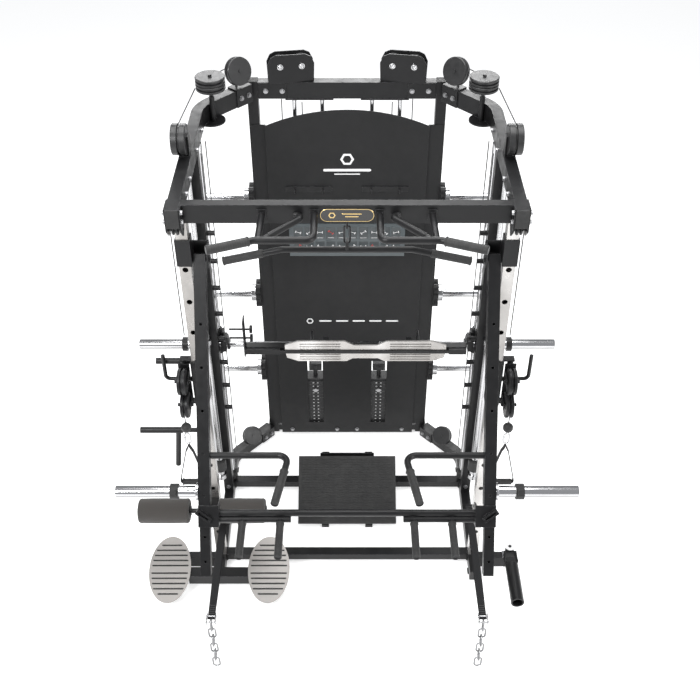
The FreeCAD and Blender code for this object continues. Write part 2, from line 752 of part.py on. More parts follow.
def smith_carriages():
    """Bearing sleeves on the guide rods, each with a block that holds the bar."""
    sleeve = rod("22", "150", ("guide_x", "guide_y", "bar_z - 75"))
    holder = block(("606", "633"), ("125", "202"), ("bar_z - 32", "bar_z + 32"))
    web = block(("620", "634"), ("164", "204"), ("bar_z - 60", "bar_z + 60"))
    guide_bore = rod("guide_radius + running_gap", "160", ("guide_x", "guide_y", "bar_z - 80"))
    bar_bore = rod("bar_radius + running_gap", "60", ("590", "bar_y", "bar_z"), "X")
    return pair(cut(fuse(sleeve, holder, web), guide_bore, bar_bore))


def smith_bar():
    """The chrome shaft and, on each end, a flanged weight sleeve that is a touch thinner past its collar."""
    shaft = rod("bar_radius", "2 * flange_x", ("-flange_x", *BAR_AXIS), "X")
    collar_end = "collar_x + collar_width"
    outline = [("0", "flange_x"), ("32", "flange_x"), ("32", "flange_x + 15"),
               ("sleeve_radius", "flange_x + 15"), ("sleeve_radius", collar_end),
               ("loading_radius", collar_end),
               ("loading_radius", "bar_half_length - 2"), ("loading_radius - 2", "bar_half_length"),
               ("0", "bar_half_length")]
    sleeve = place(turned(outline), 0, *BAR_AXIS, turn=ALONG["X"])
    return group(shaft, pair(sleeve))


def bar_fittings():
    """Collars on the weight sleeves and the hooks that turn with the bar beside the catch pegs."""
    outline = [("bar_y + 26", "bar_z - 14"), ("bar_y + 26", "bar_z + 16"), ("bar_y", "bar_z + 34"),
               ("112", "bar_z + 96"), ("80", "bar_z + 96"), ("76", "bar_z + 60"), ("86", "bar_z + 60"),
               ("90", "bar_z + 80"), ("106", "bar_z + 80"), ("bar_y - 24", "bar_z + 14"),
               ("bar_y - 24", "bar_z - 14"), ("bar_y", "bar_z - 26")]
    hook = padded("YZ_Plane", [outline, (*BAR_AXIS, "bar_radius")], "12", "588")
    collar = ring("36", "sleeve_radius", "collar_width", ("collar_x", *BAR_AXIS), "X")
    return group(pair(hook), pair(collar))


PRESS_LOW, PRESS_HIGH = 1068, 1193
PRESS_MIDDLE = 90


def leg_press_plate():
    """A foot plate with a waist, tapered ends and two fields of grooves, flat against its tube."""
    low, high = PRESS_LOW, PRESS_HIGH
    half = [(-395, low + 62), (-386, low + 22), (-330, low), (-92, low), (-62, low + 18), (62, low + 18),
            (92, low), (330, low), (386, low + 22), (395, low + 62), (395, high - 24), (330, high),
            (102, high), (56, high - 25),
            (-56, high - 25), (-102, high), (-330, high), (-395, high - 24)]
    outline = [(PRESS_MIDDLE + across, up) for across, up in half]
    plate_body = padded("XZ_Plane", [outline], "10", "-36")
    heights = (low + 10, low + 25, low + 40, high - 52, high - 36, high - 20)
    grooves = [block((x, x + 199), (25, 29), (z, z + 6)) for x in (-232, 211) for z in heights]
    return cut(plate_body, *grooves)


def leg_press_tube():
    """The black tube behind the plate with its saddles on the bar, end plate, strip, pins and hooks."""
    tube = square_tube(("-499", "585"), ("36", "74"), ("1111", "1149"), "X")
    strip = block(("-499", "585"), ("20", "26"), ("1121", "1138"))
    ends = [block(x, ("20", "36"), ("1115", "1145")) for x in (("-499", "-330"), ("500", "585"))]
    plate_body = block(("-505", "-499"), ("20", "80"), ("1100", "1313"))
    pins = [rod("5", "106", ("-574", "55", z), "X") for z in ("1246", "1192")]
    knobs = [rod("20", "12", ("-474", "55", z), "X") for z in ("1246", "1192")]
    saddles = [cut(block((x, f"{x} + 30"), ("74", "132"), ("1062", "1135")),
                   rod("bar_radius", "60", (f"{x} - 10", *BAR_AXIS), "X")) for x in ("-120", "290")]
    hooks = [drawn(bent_rod([(x, 73, 1138), (x, 120, 1150), (x, 178, 1144), (x, 178, 1066)], 6, 20))
             for x in (-176, 352)]
    return fuse(tube, strip, *ends, plate_body, *pins, *knobs, *saddles, *hooks)


# ---------------------------------------------------------------- functional trainer
def column_sleeve(low, height):
    """A square sleeve that runs on a front column with a small gap."""
    outside = block((f"{INNER} - plate", f"{OUTER} + plate"),
                    ("column_y - tube/2 - plate", "column_y + tube/2 + plate"), (low, f"{low} + {height}"))
    inside = block((f"{INNER} - 2*running_gap", f"{OUTER} + 2*running_gap"),
                   ("column_y - tube/2 - 2*running_gap", "column_y + tube/2 + 2*running_gap"),
                   (f"{low} - 1", f"{low} + {height} + 1"))
    return cut(outside, inside)


TRAINER_TOP = "(trainer_low + trainer_height)"


def trainer_carriage():
    """A sleeve with two lugs, the swivel's hinge pin and a boss for the release lever."""
    lugs = [block((f"{OUTER} + plate", "swivel_x + 16"), ("column_y - 16", "column_y + 16"), (z, f"{z} + 8"))
            for z in ("trainer_low", f"{TRAINER_TOP} - 8")]
    pin = rod("8", "trainer_height", ("swivel_x", "column_y", "trainer_low"))
    boss = ring("13", "9 + running_gap", "13", (f"{OUTER} + plate", "lever_y", "lever_z"), "X")
    return fuse(column_sleeve("trainer_low", "trainer_height"), *lugs, pin, boss)


def carriage_grip():
    """A short grip on the outer face of the left carriage."""
    foot = block(("-701", f"-({OUTER} + plate)"), ("-345", "-283"), ("1325", "1359"))
    return fuse(foot, rod("14.5", "164", ("-863", "-297", "1342"), "X"))


def release_lever():
    """The L-shaped lever that frees the carriage."""
    y, z = size("lever_y"), size("lever_z")
    return drawn(bent_rod([(696, y, z), (824, y, z), (824, y, z + 137)], 9, 22))


WHEEL_HEIGHTS = ("1334", "1196")


def trainer_swivel():
    """The swinging hub with two wide pulleys, each between a pair of short arms."""
    hub = ring("14", "8 + running_gap", f"{TRAINER_TOP} - trainer_low - 18",
               ("swivel_x", "column_y", "trainer_low + 9"))
    web = block(("swivel_x - 25", "swivel_x + 25"), ("column_y - 20", "column_y - 13"),
                ("trainer_low + 20", f"{TRAINER_TOP} - 20"))
    arms = [block((x, f"{x} + 5"), ("wheel_y - 16", "column_y - 13"), (f"{z} - 16", f"{z} + 16"))
            for x in ("swivel_x - 25", "swivel_x + 20") for z in WHEEL_HEIGHTS]
    bores = [rod("8", "100", ("swivel_x - 50", "wheel_y", z), "X") for z in WHEEL_HEIGHTS]
    wheels = [wheel("60", "36", ("swivel_x", "wheel_y", z), ALONG["X"]) for z in WHEEL_HEIGHTS]
    return group(cut(fuse(hub, web, *arms), *bores), *wheels)


def trainer_handle():
    """Cable end, rubber stop, snap link and a webbing handle with a round grip."""
    x, y = size("swivel_x"), size("cable_y")
    cable = rod("2.5", "118", ("swivel_x", "cable_y", "1078"))
    stop = rod("24", "46", ("swivel_x", "cable_y", "1084"))
    link = drawn(bent_rod([(x - 14, y, 1059), (x - 14, y, 1024), (x, y, 1008), (x + 14, y, 1024),
                           (x + 14, y, 1073),
                           (x - 14, y, 1073), (x - 14, y, 1060)], 4, 6))
    grip = ring("15", "6", "110", ("swivel_x - 55", "cable_y", "750"), "X")
    return group(fuse(cable, stop), link, drawn(strap_loop(x, y)), grip)


def strap_loop(x, y):
    """A triangular band of webbing 24 mm wide and 3 mm thick."""
    def triangle(inset):
        corners = [Vector(x, y - 12, 1003 - 4.3 * inset), Vector(x - 62 + 1.3 * inset, y - 12, 765 + inset),
                   Vector(x + 62 - 1.3 * inset, y - 12, 765 + inset)]
        return Part.Face(Part.makePolygon(corners + corners[:1])).extrude(Vector(0, 24, 0))

    return triangle(0).cut(triangle(3))


# ---------------------------------------------------------------- press arms
def arm_carriages():
    """Sleeves on the front columns, each with a fork cheek and the pin that the arm hangs on."""
    sleeve = column_sleeve("pivot_z - 11", "125")
    behind = ("pivot_y + 34", "pivot_y + 40")
    cheek = block(("568", "574"), ("pivot_y - 30", "pivot_y + 40"), ("pivot_z - 28", "pivot_z + 66"))
    back = block(("568", "645"), behind, ("pivot_z - 10", "pivot_z + 66"))
    tab = block(("633", "645"), ("column_y + tube/2 + plate", "pivot_y + 40"),
                ("pivot_z - 10", "pivot_z + 66"))
    pin = rod("pivot_radius", "71", ("562", "pivot_y", "pivot_z"), "X")
    head = rod("16", "6", ("562", "pivot_y", "pivot_z"), "X")
    return pair(fuse(sleeve, cheek, back, tab, pin, head))


LEAN = Rotation(Vector(1, 0, 0), -size("arm_lean"))
LEVEL = LEAN.inverted()


def leant(item):
    """Hang a piece drawn about the origin on the pivot line and lean it forward."""
    return place(item, 0, "pivot_y", "pivot_z", turn=LEAN)


def forward_rod(radius, length, x, ahead=0, inner=None):
    """A bar on the lower tube that points level forward once the arm has been leant."""
    turn = LEVEL.multiply(Rotation(Vector(1, 0, 0), 90))
    begin = LEVEL.multVec(Vector(0, -ahead, 0))
    start = (x, begin.y, f"-cross_tube_at - 28 + ({begin.z})")
    if inner is None:
        return place(rod(radius, length, (0, 0, 0)), *start, turn=turn)
    return place(ring(radius, inner, length, (0, 0, 0)), *start, turn=turn)


GRIP_PLACES = ("285", "446")


def press_arms():
    """Both outer arms, their cross tube, lower tubes, plates and bent handles, welded into one."""
    wide = ("arm_x - tube/2", "arm_x + tube/2")
    arm = square_tube(wide, ("-tube/2", "tube/2"), ("-arm_length", "20"))
    bore = rod("pivot_radius + running_gap", "80", ("arm_x - 40", "0", "0"), "X")
    drops = ("998", "815", "633", "450", "268")
    holes = [rod("6", "tube", ("arm_x", "-tube/2 - 10", f"-({drop})"), "Y") for drop in drops]
    low, high = "-arm_length - 88", "-arm_length + 6"
    plate_body = block(("550", "arm_x + tube/2 + 1"), ("-tube/2 - plate", "-tube/2"), (low, high))
    cheek = block(("544", "550"), ("-tube/2 - plate", "tube/2"), (low, high))
    lower = rod("14", "304", ("240", "0", "-cross_tube_at - 28"), "X")
    cores = [forward_rod("12", "203", x) for x in GRIP_PLACES]
    holder = cut(block(("-36", "36"), ("-20", "0"), ("-12", "12")),
                 block(("-26", "26"), ("-21", "-4"), ("-5", "5")))
    place(holder, "606", "-tube/2 - plate", "-arm_length - 34", turn=Rotation(Vector(0, 1, 0), -35))
    handle = drawn(handle_bar(14, 0, 1))
    side = fuse(cut(arm, bore, *holes), plate_body, cheek, lower, *cores, holder, handle)
    across = rod("15", "1088", ("-544", "0", "-cross_tube_at"), "X")
    return leant(fuse(side, mirrored(side), across))


def handle_bar(radius, inner, share):
    """A handle that runs inward from the arm, then level forward; share keeps only its far part."""
    drop = -size("handle_at")
    reach = LEVEL.multVec(Vector(46, -270, 0))
    corner = Vector(246, 0, drop)
    end = corner + reach
    if share == 1:
        return bent_rod([(size("arm_x") - size("tube") / 2, 0, drop), corner, end], radius, 40)
    begin = end - reach * share
    outer = Part.makeCylinder(radius, (end - begin).Length, begin, reach)
    return outer.cut(Part.makeCylinder(inner, (end - begin).Length, begin, reach))


def press_grips():
    """Rubber grips of the bent handles and of the four forward bars."""
    grips = [forward_rod("16.5", "178", x, ahead=25, inner="12") for x in GRIP_PLACES]
    grips.append(drawn(handle_bar(17, 14, 0.66)))
    return leant(group(*[pair(grip) for grip in grips]))


def press_sleeves():
    """Chrome weight sleeves on the outside of the arms."""
    start = ("arm_x + tube/2", "0", "-weight_sleeve_at")
    under_collar = rod("sleeve_radius", "120", start, "X")
    sleeve = fuse(rod("loading_radius", "352", start, "X"), under_collar, rod("38", "10", start, "X"))
    return leant(pair(sleeve))


def sleeve_collars():
    """Spring collars on the weight sleeves of the arms."""
    collar = ring("34", "sleeve_radius + running_gap", "34", ("716", "0", "-weight_sleeve_at"), "X")
    lever = block(("722", "744"), ("-44", "-33"), ("-weight_sleeve_at - 6", "-weight_sleeve_at + 18"))
    return leant(pair(fuse(collar, lever)))


def arm_extensions():
    """Inner tubes that slide inside the arms, closed at their lower ends."""
    reach = ("-extension_end", "-700")
    inset = "wall + 2*running_gap"
    inner = square_tube((f"arm_x - tube/2 + {inset}", f"arm_x + tube/2 - ({inset})"),
                        (f"-tube/2 + {inset}", f"tube/2 - ({inset})"), reach)
    foot = block((f"arm_x - tube/2 + {inset}", f"arm_x + tube/2 - ({inset})"),
                 (f"-tube/2 + {inset}", f"tube/2 - ({inset})"), ("-extension_end", "-extension_end + 4"))
    holes = [rod("6", "tube", ("arm_x", "-tube/2 - 10", f"-({drop})"), "Y") for drop in ("1180", "1290")]
    return leant(pair(cut(fuse(inner, foot), *holes)))


# ---------------------------------------------------------------- front beam equipment
PULL_UP_Z = 2220


def pull_up_bars():
    """Tubes in front of the top beam: a wide bar with angled ends and two inclined inner grips."""
    front = size("front_beam_y") - size("front_beam_depth") / 2
    wide = drawn(bent_rod([(125, front, PULL_UP_Z), (125, -650, PULL_UP_Z), (345, -650, PULL_UP_Z),
                           (513, -716, PULL_UP_Z)], 14, 30))
    outer = drawn(bent_rod([(326, front, PULL_UP_Z), (330, -652, PULL_UP_Z)], 13, 30))
    line = [(306, -640, PULL_UP_Z), (166, -486, PULL_UP_Z), (200, front, PULL_UP_Z)]
    slanted = drawn(bent_rod(line, 12, 20))
    heights = (PULL_UP_Z - 24, PULL_UP_Z + 24)
    pads = [block((x - 18, x + 18), (front - 5, front), heights) for x in (125, 326)]
    beam_room = block(("0", "600"), (front, front + 60), (PULL_UP_Z - 60, PULL_UP_Z + 60))
    return pair(cut(fuse(wide, outer, slanted, *pads), beam_room))


def pull_up_grips():
    """Rubber sleeves on the angled ends."""
    bend, end = Vector(345, -650, PULL_UP_Z), Vector(513, -716, PULL_UP_Z)
    start = bend + (end - bend) * 0.1
    along = end - start
    outer = Part.makeCylinder(17.5, along.Length, start, along)
    return pair(drawn(outer.cut(Part.makeCylinder(14, along.Length, start, along))))


def nameplate():
    """A blank pill-shaped plate on the front beam."""
    front = "-(front_beam_y - front_beam_depth/2)"
    outline = [("-76", "2187"), ("76", "2187"), ("76", "2247"), ("-76", "2247")]
    plate_body = padded("XZ_Plane", [outline], "3", front)
    ends = [rod("30", "3", (x, "front_beam_y - front_beam_depth/2 - 3", "2217"), "Y") for x in ("-76", "76")]
    return fuse(plate_body, *ends)


LAT_REACH, LAT_END, LAT_DROP = 256, 492, 55


def lat_bar():
    """A lat bar with dropped ends on a lug, and the snap link that hangs it from the eye."""
    y, z = size("lat_y"), size("lat_z")
    bar = drawn(bent_rod([(-LAT_END, y, z - LAT_DROP), (-LAT_REACH, y, z), (LAT_REACH, y, z),
                          (LAT_END, y, z - LAT_DROP)], 13, 60))
    lug = block(("-6", "6"), ("lat_y - 16", "lat_y + 16"), ("lat_z + 8", "lat_z + 44"))
    lug = cut(lug, rod("7", "20", ("-10", "lat_y", "lat_z + 30"), "X"))
    low, high = z + 33, z + 108.8
    link = drawn(bent_rod([(12, y, z + 66), (12, y, low), (-12, y, low), (-12, y, high), (12, y, high),
                           (12, y, z + 67)], 3.5, 8))
    return group(fuse(bar, lug), link)


def lat_grips():
    """Rubber sleeves on the dropped ends of the lat bar."""
    end = Vector(LAT_END, size("lat_y"), size("lat_z") - LAT_DROP)
    along = (Vector(LAT_REACH, size("lat_y"), size("lat_z")) - end) * 0.68
    outer = Part.makeCylinder(17, along.Length, end, along)
    return pair(drawn(outer.cut(Part.makeCylinder(13, along.Length, end, along))))


# ---------------------------------------------------------------- floor level
PLATE_TILT = 36


def footplate():
    """A ribbed plate that leans back over the middle crossbar."""
    base = block(("-269", "269"), ("0", "373"), ("-22", "0"))
    ribs = [block(("-252", "252"), (17 + 14 * step, 22 + 14 * step), ("0", "2.5")) for step in range(25)]
    return place(fuse(base, *ribs), "0", "-137", "37.8", turn=Rotation(Vector(1, 0, 0), PLATE_TILT))


PEDAL_SPOTS = (-909, -402)
PEDAL_Y = -516


def squat_attachment():
    """The leg-hold frame on the left: carrier tube, pedal bars, roller bracket and shaft."""
    carrier = square_tube(("-814", "-503"), ("-545", "-485"), ("45", "105"), "X")
    spans = (("-925", "-814"), ("-503", "-388"))
    bars = [block(x, (PEDAL_Y - 15, PEDAL_Y + 15), ("60", "90")) for x in spans]
    posts = [rod("12", "28", (x, PEDAL_Y, "90")) for x in PEDAL_SPOTS]
    shaft = rod("12", "640", ("-1037", "roller_y", "roller_z"), "X")
    stops = [rod("24", "5", (x, "roller_y", "roller_z"), "X") for x in ("-1036", "-777", "-403")]
    bracket = block((f"-{OUTER}", f"-{INNER}"), ("roller_y - 20", "column_y - tube/2"),
                    ("roller_z - 20", "roller_z + 20"))
    return group(fuse(carrier, *bars, *posts), fuse(shaft, *stops, bracket))


def foam_rollers():
    """Two foam rollers that turn on the shaft."""
    spans = (("-1030", "251"), ("-636", "232"))
    return group(*[ring("63", "12.1", length, (x, "roller_y", "roller_z"), "X") for x, length in spans])


def foot_pedals():
    """Oval plates with ten slots each, tilted towards the front, on short necks."""
    half_long, half_wide, slot_half = 175, 107, 4.5
    oval = Part.Face(Part.Wire(Part.Ellipse(Vector(), half_long, half_wide).toShape()))
    pedal = oval.extrude(Vector(0, 0, 4))
    for row in range(5):
        for sign in (-1, 1):
            along = sign * (20 + 27 * row)
            fill = 0.84 if row < 4 else 0.66
            half = fill * half_wide * math.sqrt(1 - (along / half_long) ** 2)
            slot = Part.makeBox(2 * slot_half, 2 * half, 8, Vector(along - slot_half, -half, -2))
            ends = [Part.makeCylinder(slot_half, 8, Vector(along, end, -2)) for end in (-half, half)]
            pedal = pedal.cut(slot.fuse(ends))
    pedal.rotate(Vector(), Vector(0, 0, 1), 90)
    pedal.rotate(Vector(), Vector(1, 0, 0), 20)
    pedals = []
    for x in PEDAL_SPOTS:
        plate_shape = pedal.copy()
        plate_shape.translate(Vector(x, PEDAL_Y, 124.5))
        neck = Part.makeCylinder(12, 6.5, Vector(x, PEDAL_Y, 118))
        pedals.append(drawn(plate_shape.fuse(neck)))
    return group(*pedals)


DECK = f"({RAIL_TOP} + 12)"


def landmine_base():
    """A foot plate and post on the right outrigger, with a wide washer on top."""
    plate_body = block(("landmine_x - 34", "landmine_x + 34"), ("-402", "-362"), (DECK, f"{DECK} + 8"))
    post = rod("12", "52", ("landmine_x", "landmine_y", f"{DECK} + 8"))
    washer = rod("24", "5", ("landmine_x", "landmine_y", f"{DECK} + 60"))
    return fuse(plate_body, post, washer)


def landmine_yoke():
    """The fork that turns on the post and carries the tilt pin."""
    heights = ("pitch_z - 22", "pitch_z + 20")
    hub = rod("23", "46", ("landmine_x", "landmine_y", "pitch_z - 24"))
    web = block(("landmine_x - 33", "landmine_x + 33"), ("-412", "-400"), heights)
    cheeks = [block((x, f"{x} + 6"), ("pitch_y - 18", "-402"), heights)
              for x in ("landmine_x - 33", "landmine_x + 27")]
    pin = rod("8", "74", ("landmine_x - 37", "pitch_y", "pitch_z"), "X")
    bore = rod("12 + running_gap", "60", ("landmine_x", "landmine_y", "pitch_z - 30"))
    return cut(fuse(hub, web, *cheeks, pin), bore)


def landmine_tube():
    """The tube that takes a barbell end, on a lug around the tilt pin."""
    tube = ring("33", "26", "230", ("landmine_x", "pitch_y - 262", "pitch_z"), "Y")
    back = rod("33", "5", ("landmine_x", "pitch_y - 36", "pitch_z"), "Y")
    lug = block(("landmine_x - 26", "landmine_x + 26"), ("pitch_y - 36", "pitch_y + 14"),
                ("pitch_z - 14", "pitch_z + 14"))
    bore = rod("8 + running_gap", "80", ("landmine_x - 40", "pitch_y", "pitch_z"), "X")
    return cut(fuse(tube, back, lug), bore)


def safety_straps():
    """Strap arms on the inner faces of the front columns, with a pinned clevis at the front."""
    arm = block(("603", INNER), ("-1004", "column_y + tube/2"), ("strap_low", "strap_high"))
    heights = ("strap_low + 3", "strap_high - 3")
    cheeks = [block((x, f"{x} + 4"), ("chain_y - 12", "-990"), heights) for x in ("599", INNER)]
    nose = block(("599", f"{INNER} + 4"), ("-1008", "-1004"), heights)
    pin = rod("4", "50", ("596", "chain_y", "chain_z"), "X")
    return pair(group(arm, fuse(*cheeks, nose, pin)))


def chains():
    """A chain of long oval links under each clevis; the first link is narrow to pass the clevis."""
    x, y = 621, size("chain_y")
    long, wire, pitch = 33, 4, 57.4

    def link(z, half, across):
        side = Vector(half, 0, 0) if across else Vector(0, half, 0)
        middle, up = Vector(x, y, z), Vector(0, 0, long)
        points = [middle - side, middle - side + up, middle + side + up, middle + side - up,
                  middle - side - up, middle - side]
        return drawn(bent_rod([tuple(point) for point in points], wire, half - 0.5))

    top = size("chain_z") - 24.6
    links = [link(top - pitch * step, 16 if step else 11, step % 2) for step in range(6)]
    return pair(group(*links))


def storage_bar():
    """A spare handle hung on the outer side of the left column."""
    grip = rod("15", "200", ("-981", "-333", "943"), "X")
    neck = rod("11", f"790 - {OUTER}", ("-790", "-333", "943"), "X")
    drop = drawn(bent_rod([(-800, -333, 943), (-826, -333, 711)], 13, 10))
    return fuse(grip, neck, drop)


# ---------------------------------------------------------------- fasteners
def bolt_head(x, y, z, direction):
    """A hexagon head on a washer, pointing along a direction."""
    washer = document.addObject("Part::Cylinder", "washer")
    bind(washer, Radius="12", Height="2")
    head = document.addObject("Part::Prism", "head")
    bind(head, Circumradius="9.5", Height="7")
    head.Polygon = 6
    place(head, 0, 0, 2)
    return place(fuse(washer, head), x, y, z, turn=Rotation(Vector(0, 0, 1), Vector(*direction)))


def frame_bolts():
    """Bolt heads of the frame, on the faces of the plates that they clamp."""
    heads = []
    for z in ("frame_top - 20", "frame_top - 60"):
        heads.append(bolt_head(f"{INNER} - plate", "-490", z, (-1, 0, 0)))
        heads.append(bolt_head(f"{OUTER} + plate", "-490", z, (1, 0, 0)))
    for x in ("303", "380"):
        heads.append(bolt_head(x, f"{REAR_FRONT} - plate", f"{BEAM_LOW} + 40", (0, -1, 0)))
    for x in ("60", "330"):
        heads.append(bolt_head(x, "panel_y", "45", (0, -1, 0)))
    for y, low in (("column_y", RAIL_TOP), ("upright_y", RAIL_TOP)):
        heads.append(bolt_head("side_x", f"{y} - tube/2", f"{low} + 40", (0, -1, 0)))
    bend, end = (Vector(*point, 0) for point in ANGLED_PLAN[1:])
    back = (bend - end).normalize()
    inward = Vector(back.y, -back.x, 0)
    face = size("tube") / 2 + size("plate")
    for reach in (24, 70):
        spot = end + back * reach + inward * face
        for z in (f"{BEAM_LOW} + 40", "pad + 30"):
            heads.append(bolt_head(spot.x, spot.y, z, tuple(inward)))
    for y in ("-300", "-180", "60", "240"):
        heads.append(bolt_head(INNER, y, f"{BEAM_LOW} + 30", (-1, 0, 0)))
    return group(*[pair(head) for head in heads])


# ---------------------------------------------------------------- the list of sub-parts
rail = base_rail()
sub_part("base_rail_right", rail)
sub_part("base_rail_left", mirrored(rail))
beam = top_side_beam()
sub_part("top_side_beam_right", beam)
sub_part("top_side_beam_left", mirrored(beam))
sub_part("base_crossbars", base_crossbars())
sub_part("front_top_beam", front_top_beam())
sub_part("rear_top_beam", rear_top_beam())
sub_part("rear_uprights", pair(rear_upright()))
sub_part("front_columns", pair(front_column()))
sub_part("middle_uprights", pair(middle_upright()))
sub_part("guide_rods", guide_rods())
sub_part("feet_and_caps", feet_and_caps())
sub_part("frame_bolts", frame_bolts())
sub_part("back_panel", back_panel())
sub_part("exercise_board", exercise_board())
sub_part("accessory_hooks", accessory_hooks())
sub_part("resting_plates", resting_plates())
sub_part("trainer_carriage_right", trainer_carriage())
sub_part("trainer_carriage_left", fuse(mirrored(trainer_carriage()), carriage_grip()))
for side, make in (("right", lambda piece: piece), ("left", mirrored)):
    sub_part(f"lifted_stack_{side}", make(lifted_stack()))
    sub_part(f"selector_pin_{side}", make(selector_pin()))
    sub_part(f"release_lever_{side}", make(release_lever()))
    sub_part(f"trainer_swivel_{side}", make(trainer_swivel()))
    sub_part(f"trainer_handle_{side}", make(trainer_handle()))
sub_part("plate_horns", plate_horns())
sub_part("pulley_housings", pulley_housings())
sub_part("fixed_pulleys", fixed_pulleys())
sub_part("top_pulleys", top_pulleys())
sub_part("cables", cables())
sub_part("smith_carriages", smith_carriages())
sub_part("smith_bar", smith_bar())
sub_part("bar_fittings", bar_fittings())
sub_part("leg_press_plate", leg_press_plate())
sub_part("leg_press_tube", leg_press_tube())
sub_part("arm_carriages", arm_carriages())
sub_part("press_arms", press_arms())
sub_part("press_grips", press_grips())
sub_part("press_sleeves", press_sleeves())
sub_part("sleeve_collars", sleeve_collars())
sub_part("arm_extensions", arm_extensions())
sub_part("pull_up_bars", pull_up_bars())
sub_part("pull_up_grips", pull_up_grips())
sub_part("nameplate", nameplate())
sub_part("lat_bar", lat_bar())
sub_part("lat_grips", lat_grips())
sub_part("footplate", footplate())
sub_part("squat_attachment", squat_attachment())
sub_part("foam_rollers", foam_rollers())
sub_part("foot_pedals", foot_pedals())
sub_part("landmine_base", landmine_base())
sub_part("landmine_yoke", landmine_yoke())
sub_part("landmine_tube", landmine_tube())
sub_part("safety_straps", safety_straps())
sub_part("chains", chains())
sub_part("storage_bar", storage_bar())

document.removeObject(probe.Name)
document.recompute()
for item in document.Objects:
    if "Invalid" in item.State or "Error" in item.State:
        raise RuntimeError(f"{item.Name} ({item.Label}) failed: {item.State}")
os.makedirs("parts", exist_ok=True)
for item in SUB_PARTS:
    if item.Shape.isNull() or not item.Shape.isValid():
        raise RuntimeError(f"{item.Label} has no valid shape")
    item.Shape.exportStep(f"parts/{item.Label}.step")
print(len(SUB_PARTS), "sub-parts written")
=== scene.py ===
import json
import math

import bmesh
import bpy
from mathutils import Matrix, Vector, noise


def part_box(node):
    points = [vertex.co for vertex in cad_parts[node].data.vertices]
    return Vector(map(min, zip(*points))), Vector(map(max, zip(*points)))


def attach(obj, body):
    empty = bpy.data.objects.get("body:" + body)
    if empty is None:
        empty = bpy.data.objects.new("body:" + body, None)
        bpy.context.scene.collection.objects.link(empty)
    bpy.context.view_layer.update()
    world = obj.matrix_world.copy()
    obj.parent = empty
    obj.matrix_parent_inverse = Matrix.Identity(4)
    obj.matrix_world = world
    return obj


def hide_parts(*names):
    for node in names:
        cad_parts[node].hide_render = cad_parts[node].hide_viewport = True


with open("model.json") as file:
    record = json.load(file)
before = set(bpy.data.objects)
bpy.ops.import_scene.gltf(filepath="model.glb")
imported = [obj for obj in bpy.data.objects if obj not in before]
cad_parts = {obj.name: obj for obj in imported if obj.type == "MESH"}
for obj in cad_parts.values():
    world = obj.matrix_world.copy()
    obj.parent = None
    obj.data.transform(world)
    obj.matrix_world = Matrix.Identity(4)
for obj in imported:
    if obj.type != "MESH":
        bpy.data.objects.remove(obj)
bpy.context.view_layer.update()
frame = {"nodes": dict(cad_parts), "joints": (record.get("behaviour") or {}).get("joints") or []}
NODES = frame["nodes"]
JOINTS = {joint["name"]: joint for joint in frame["joints"]}
MM = 0.001


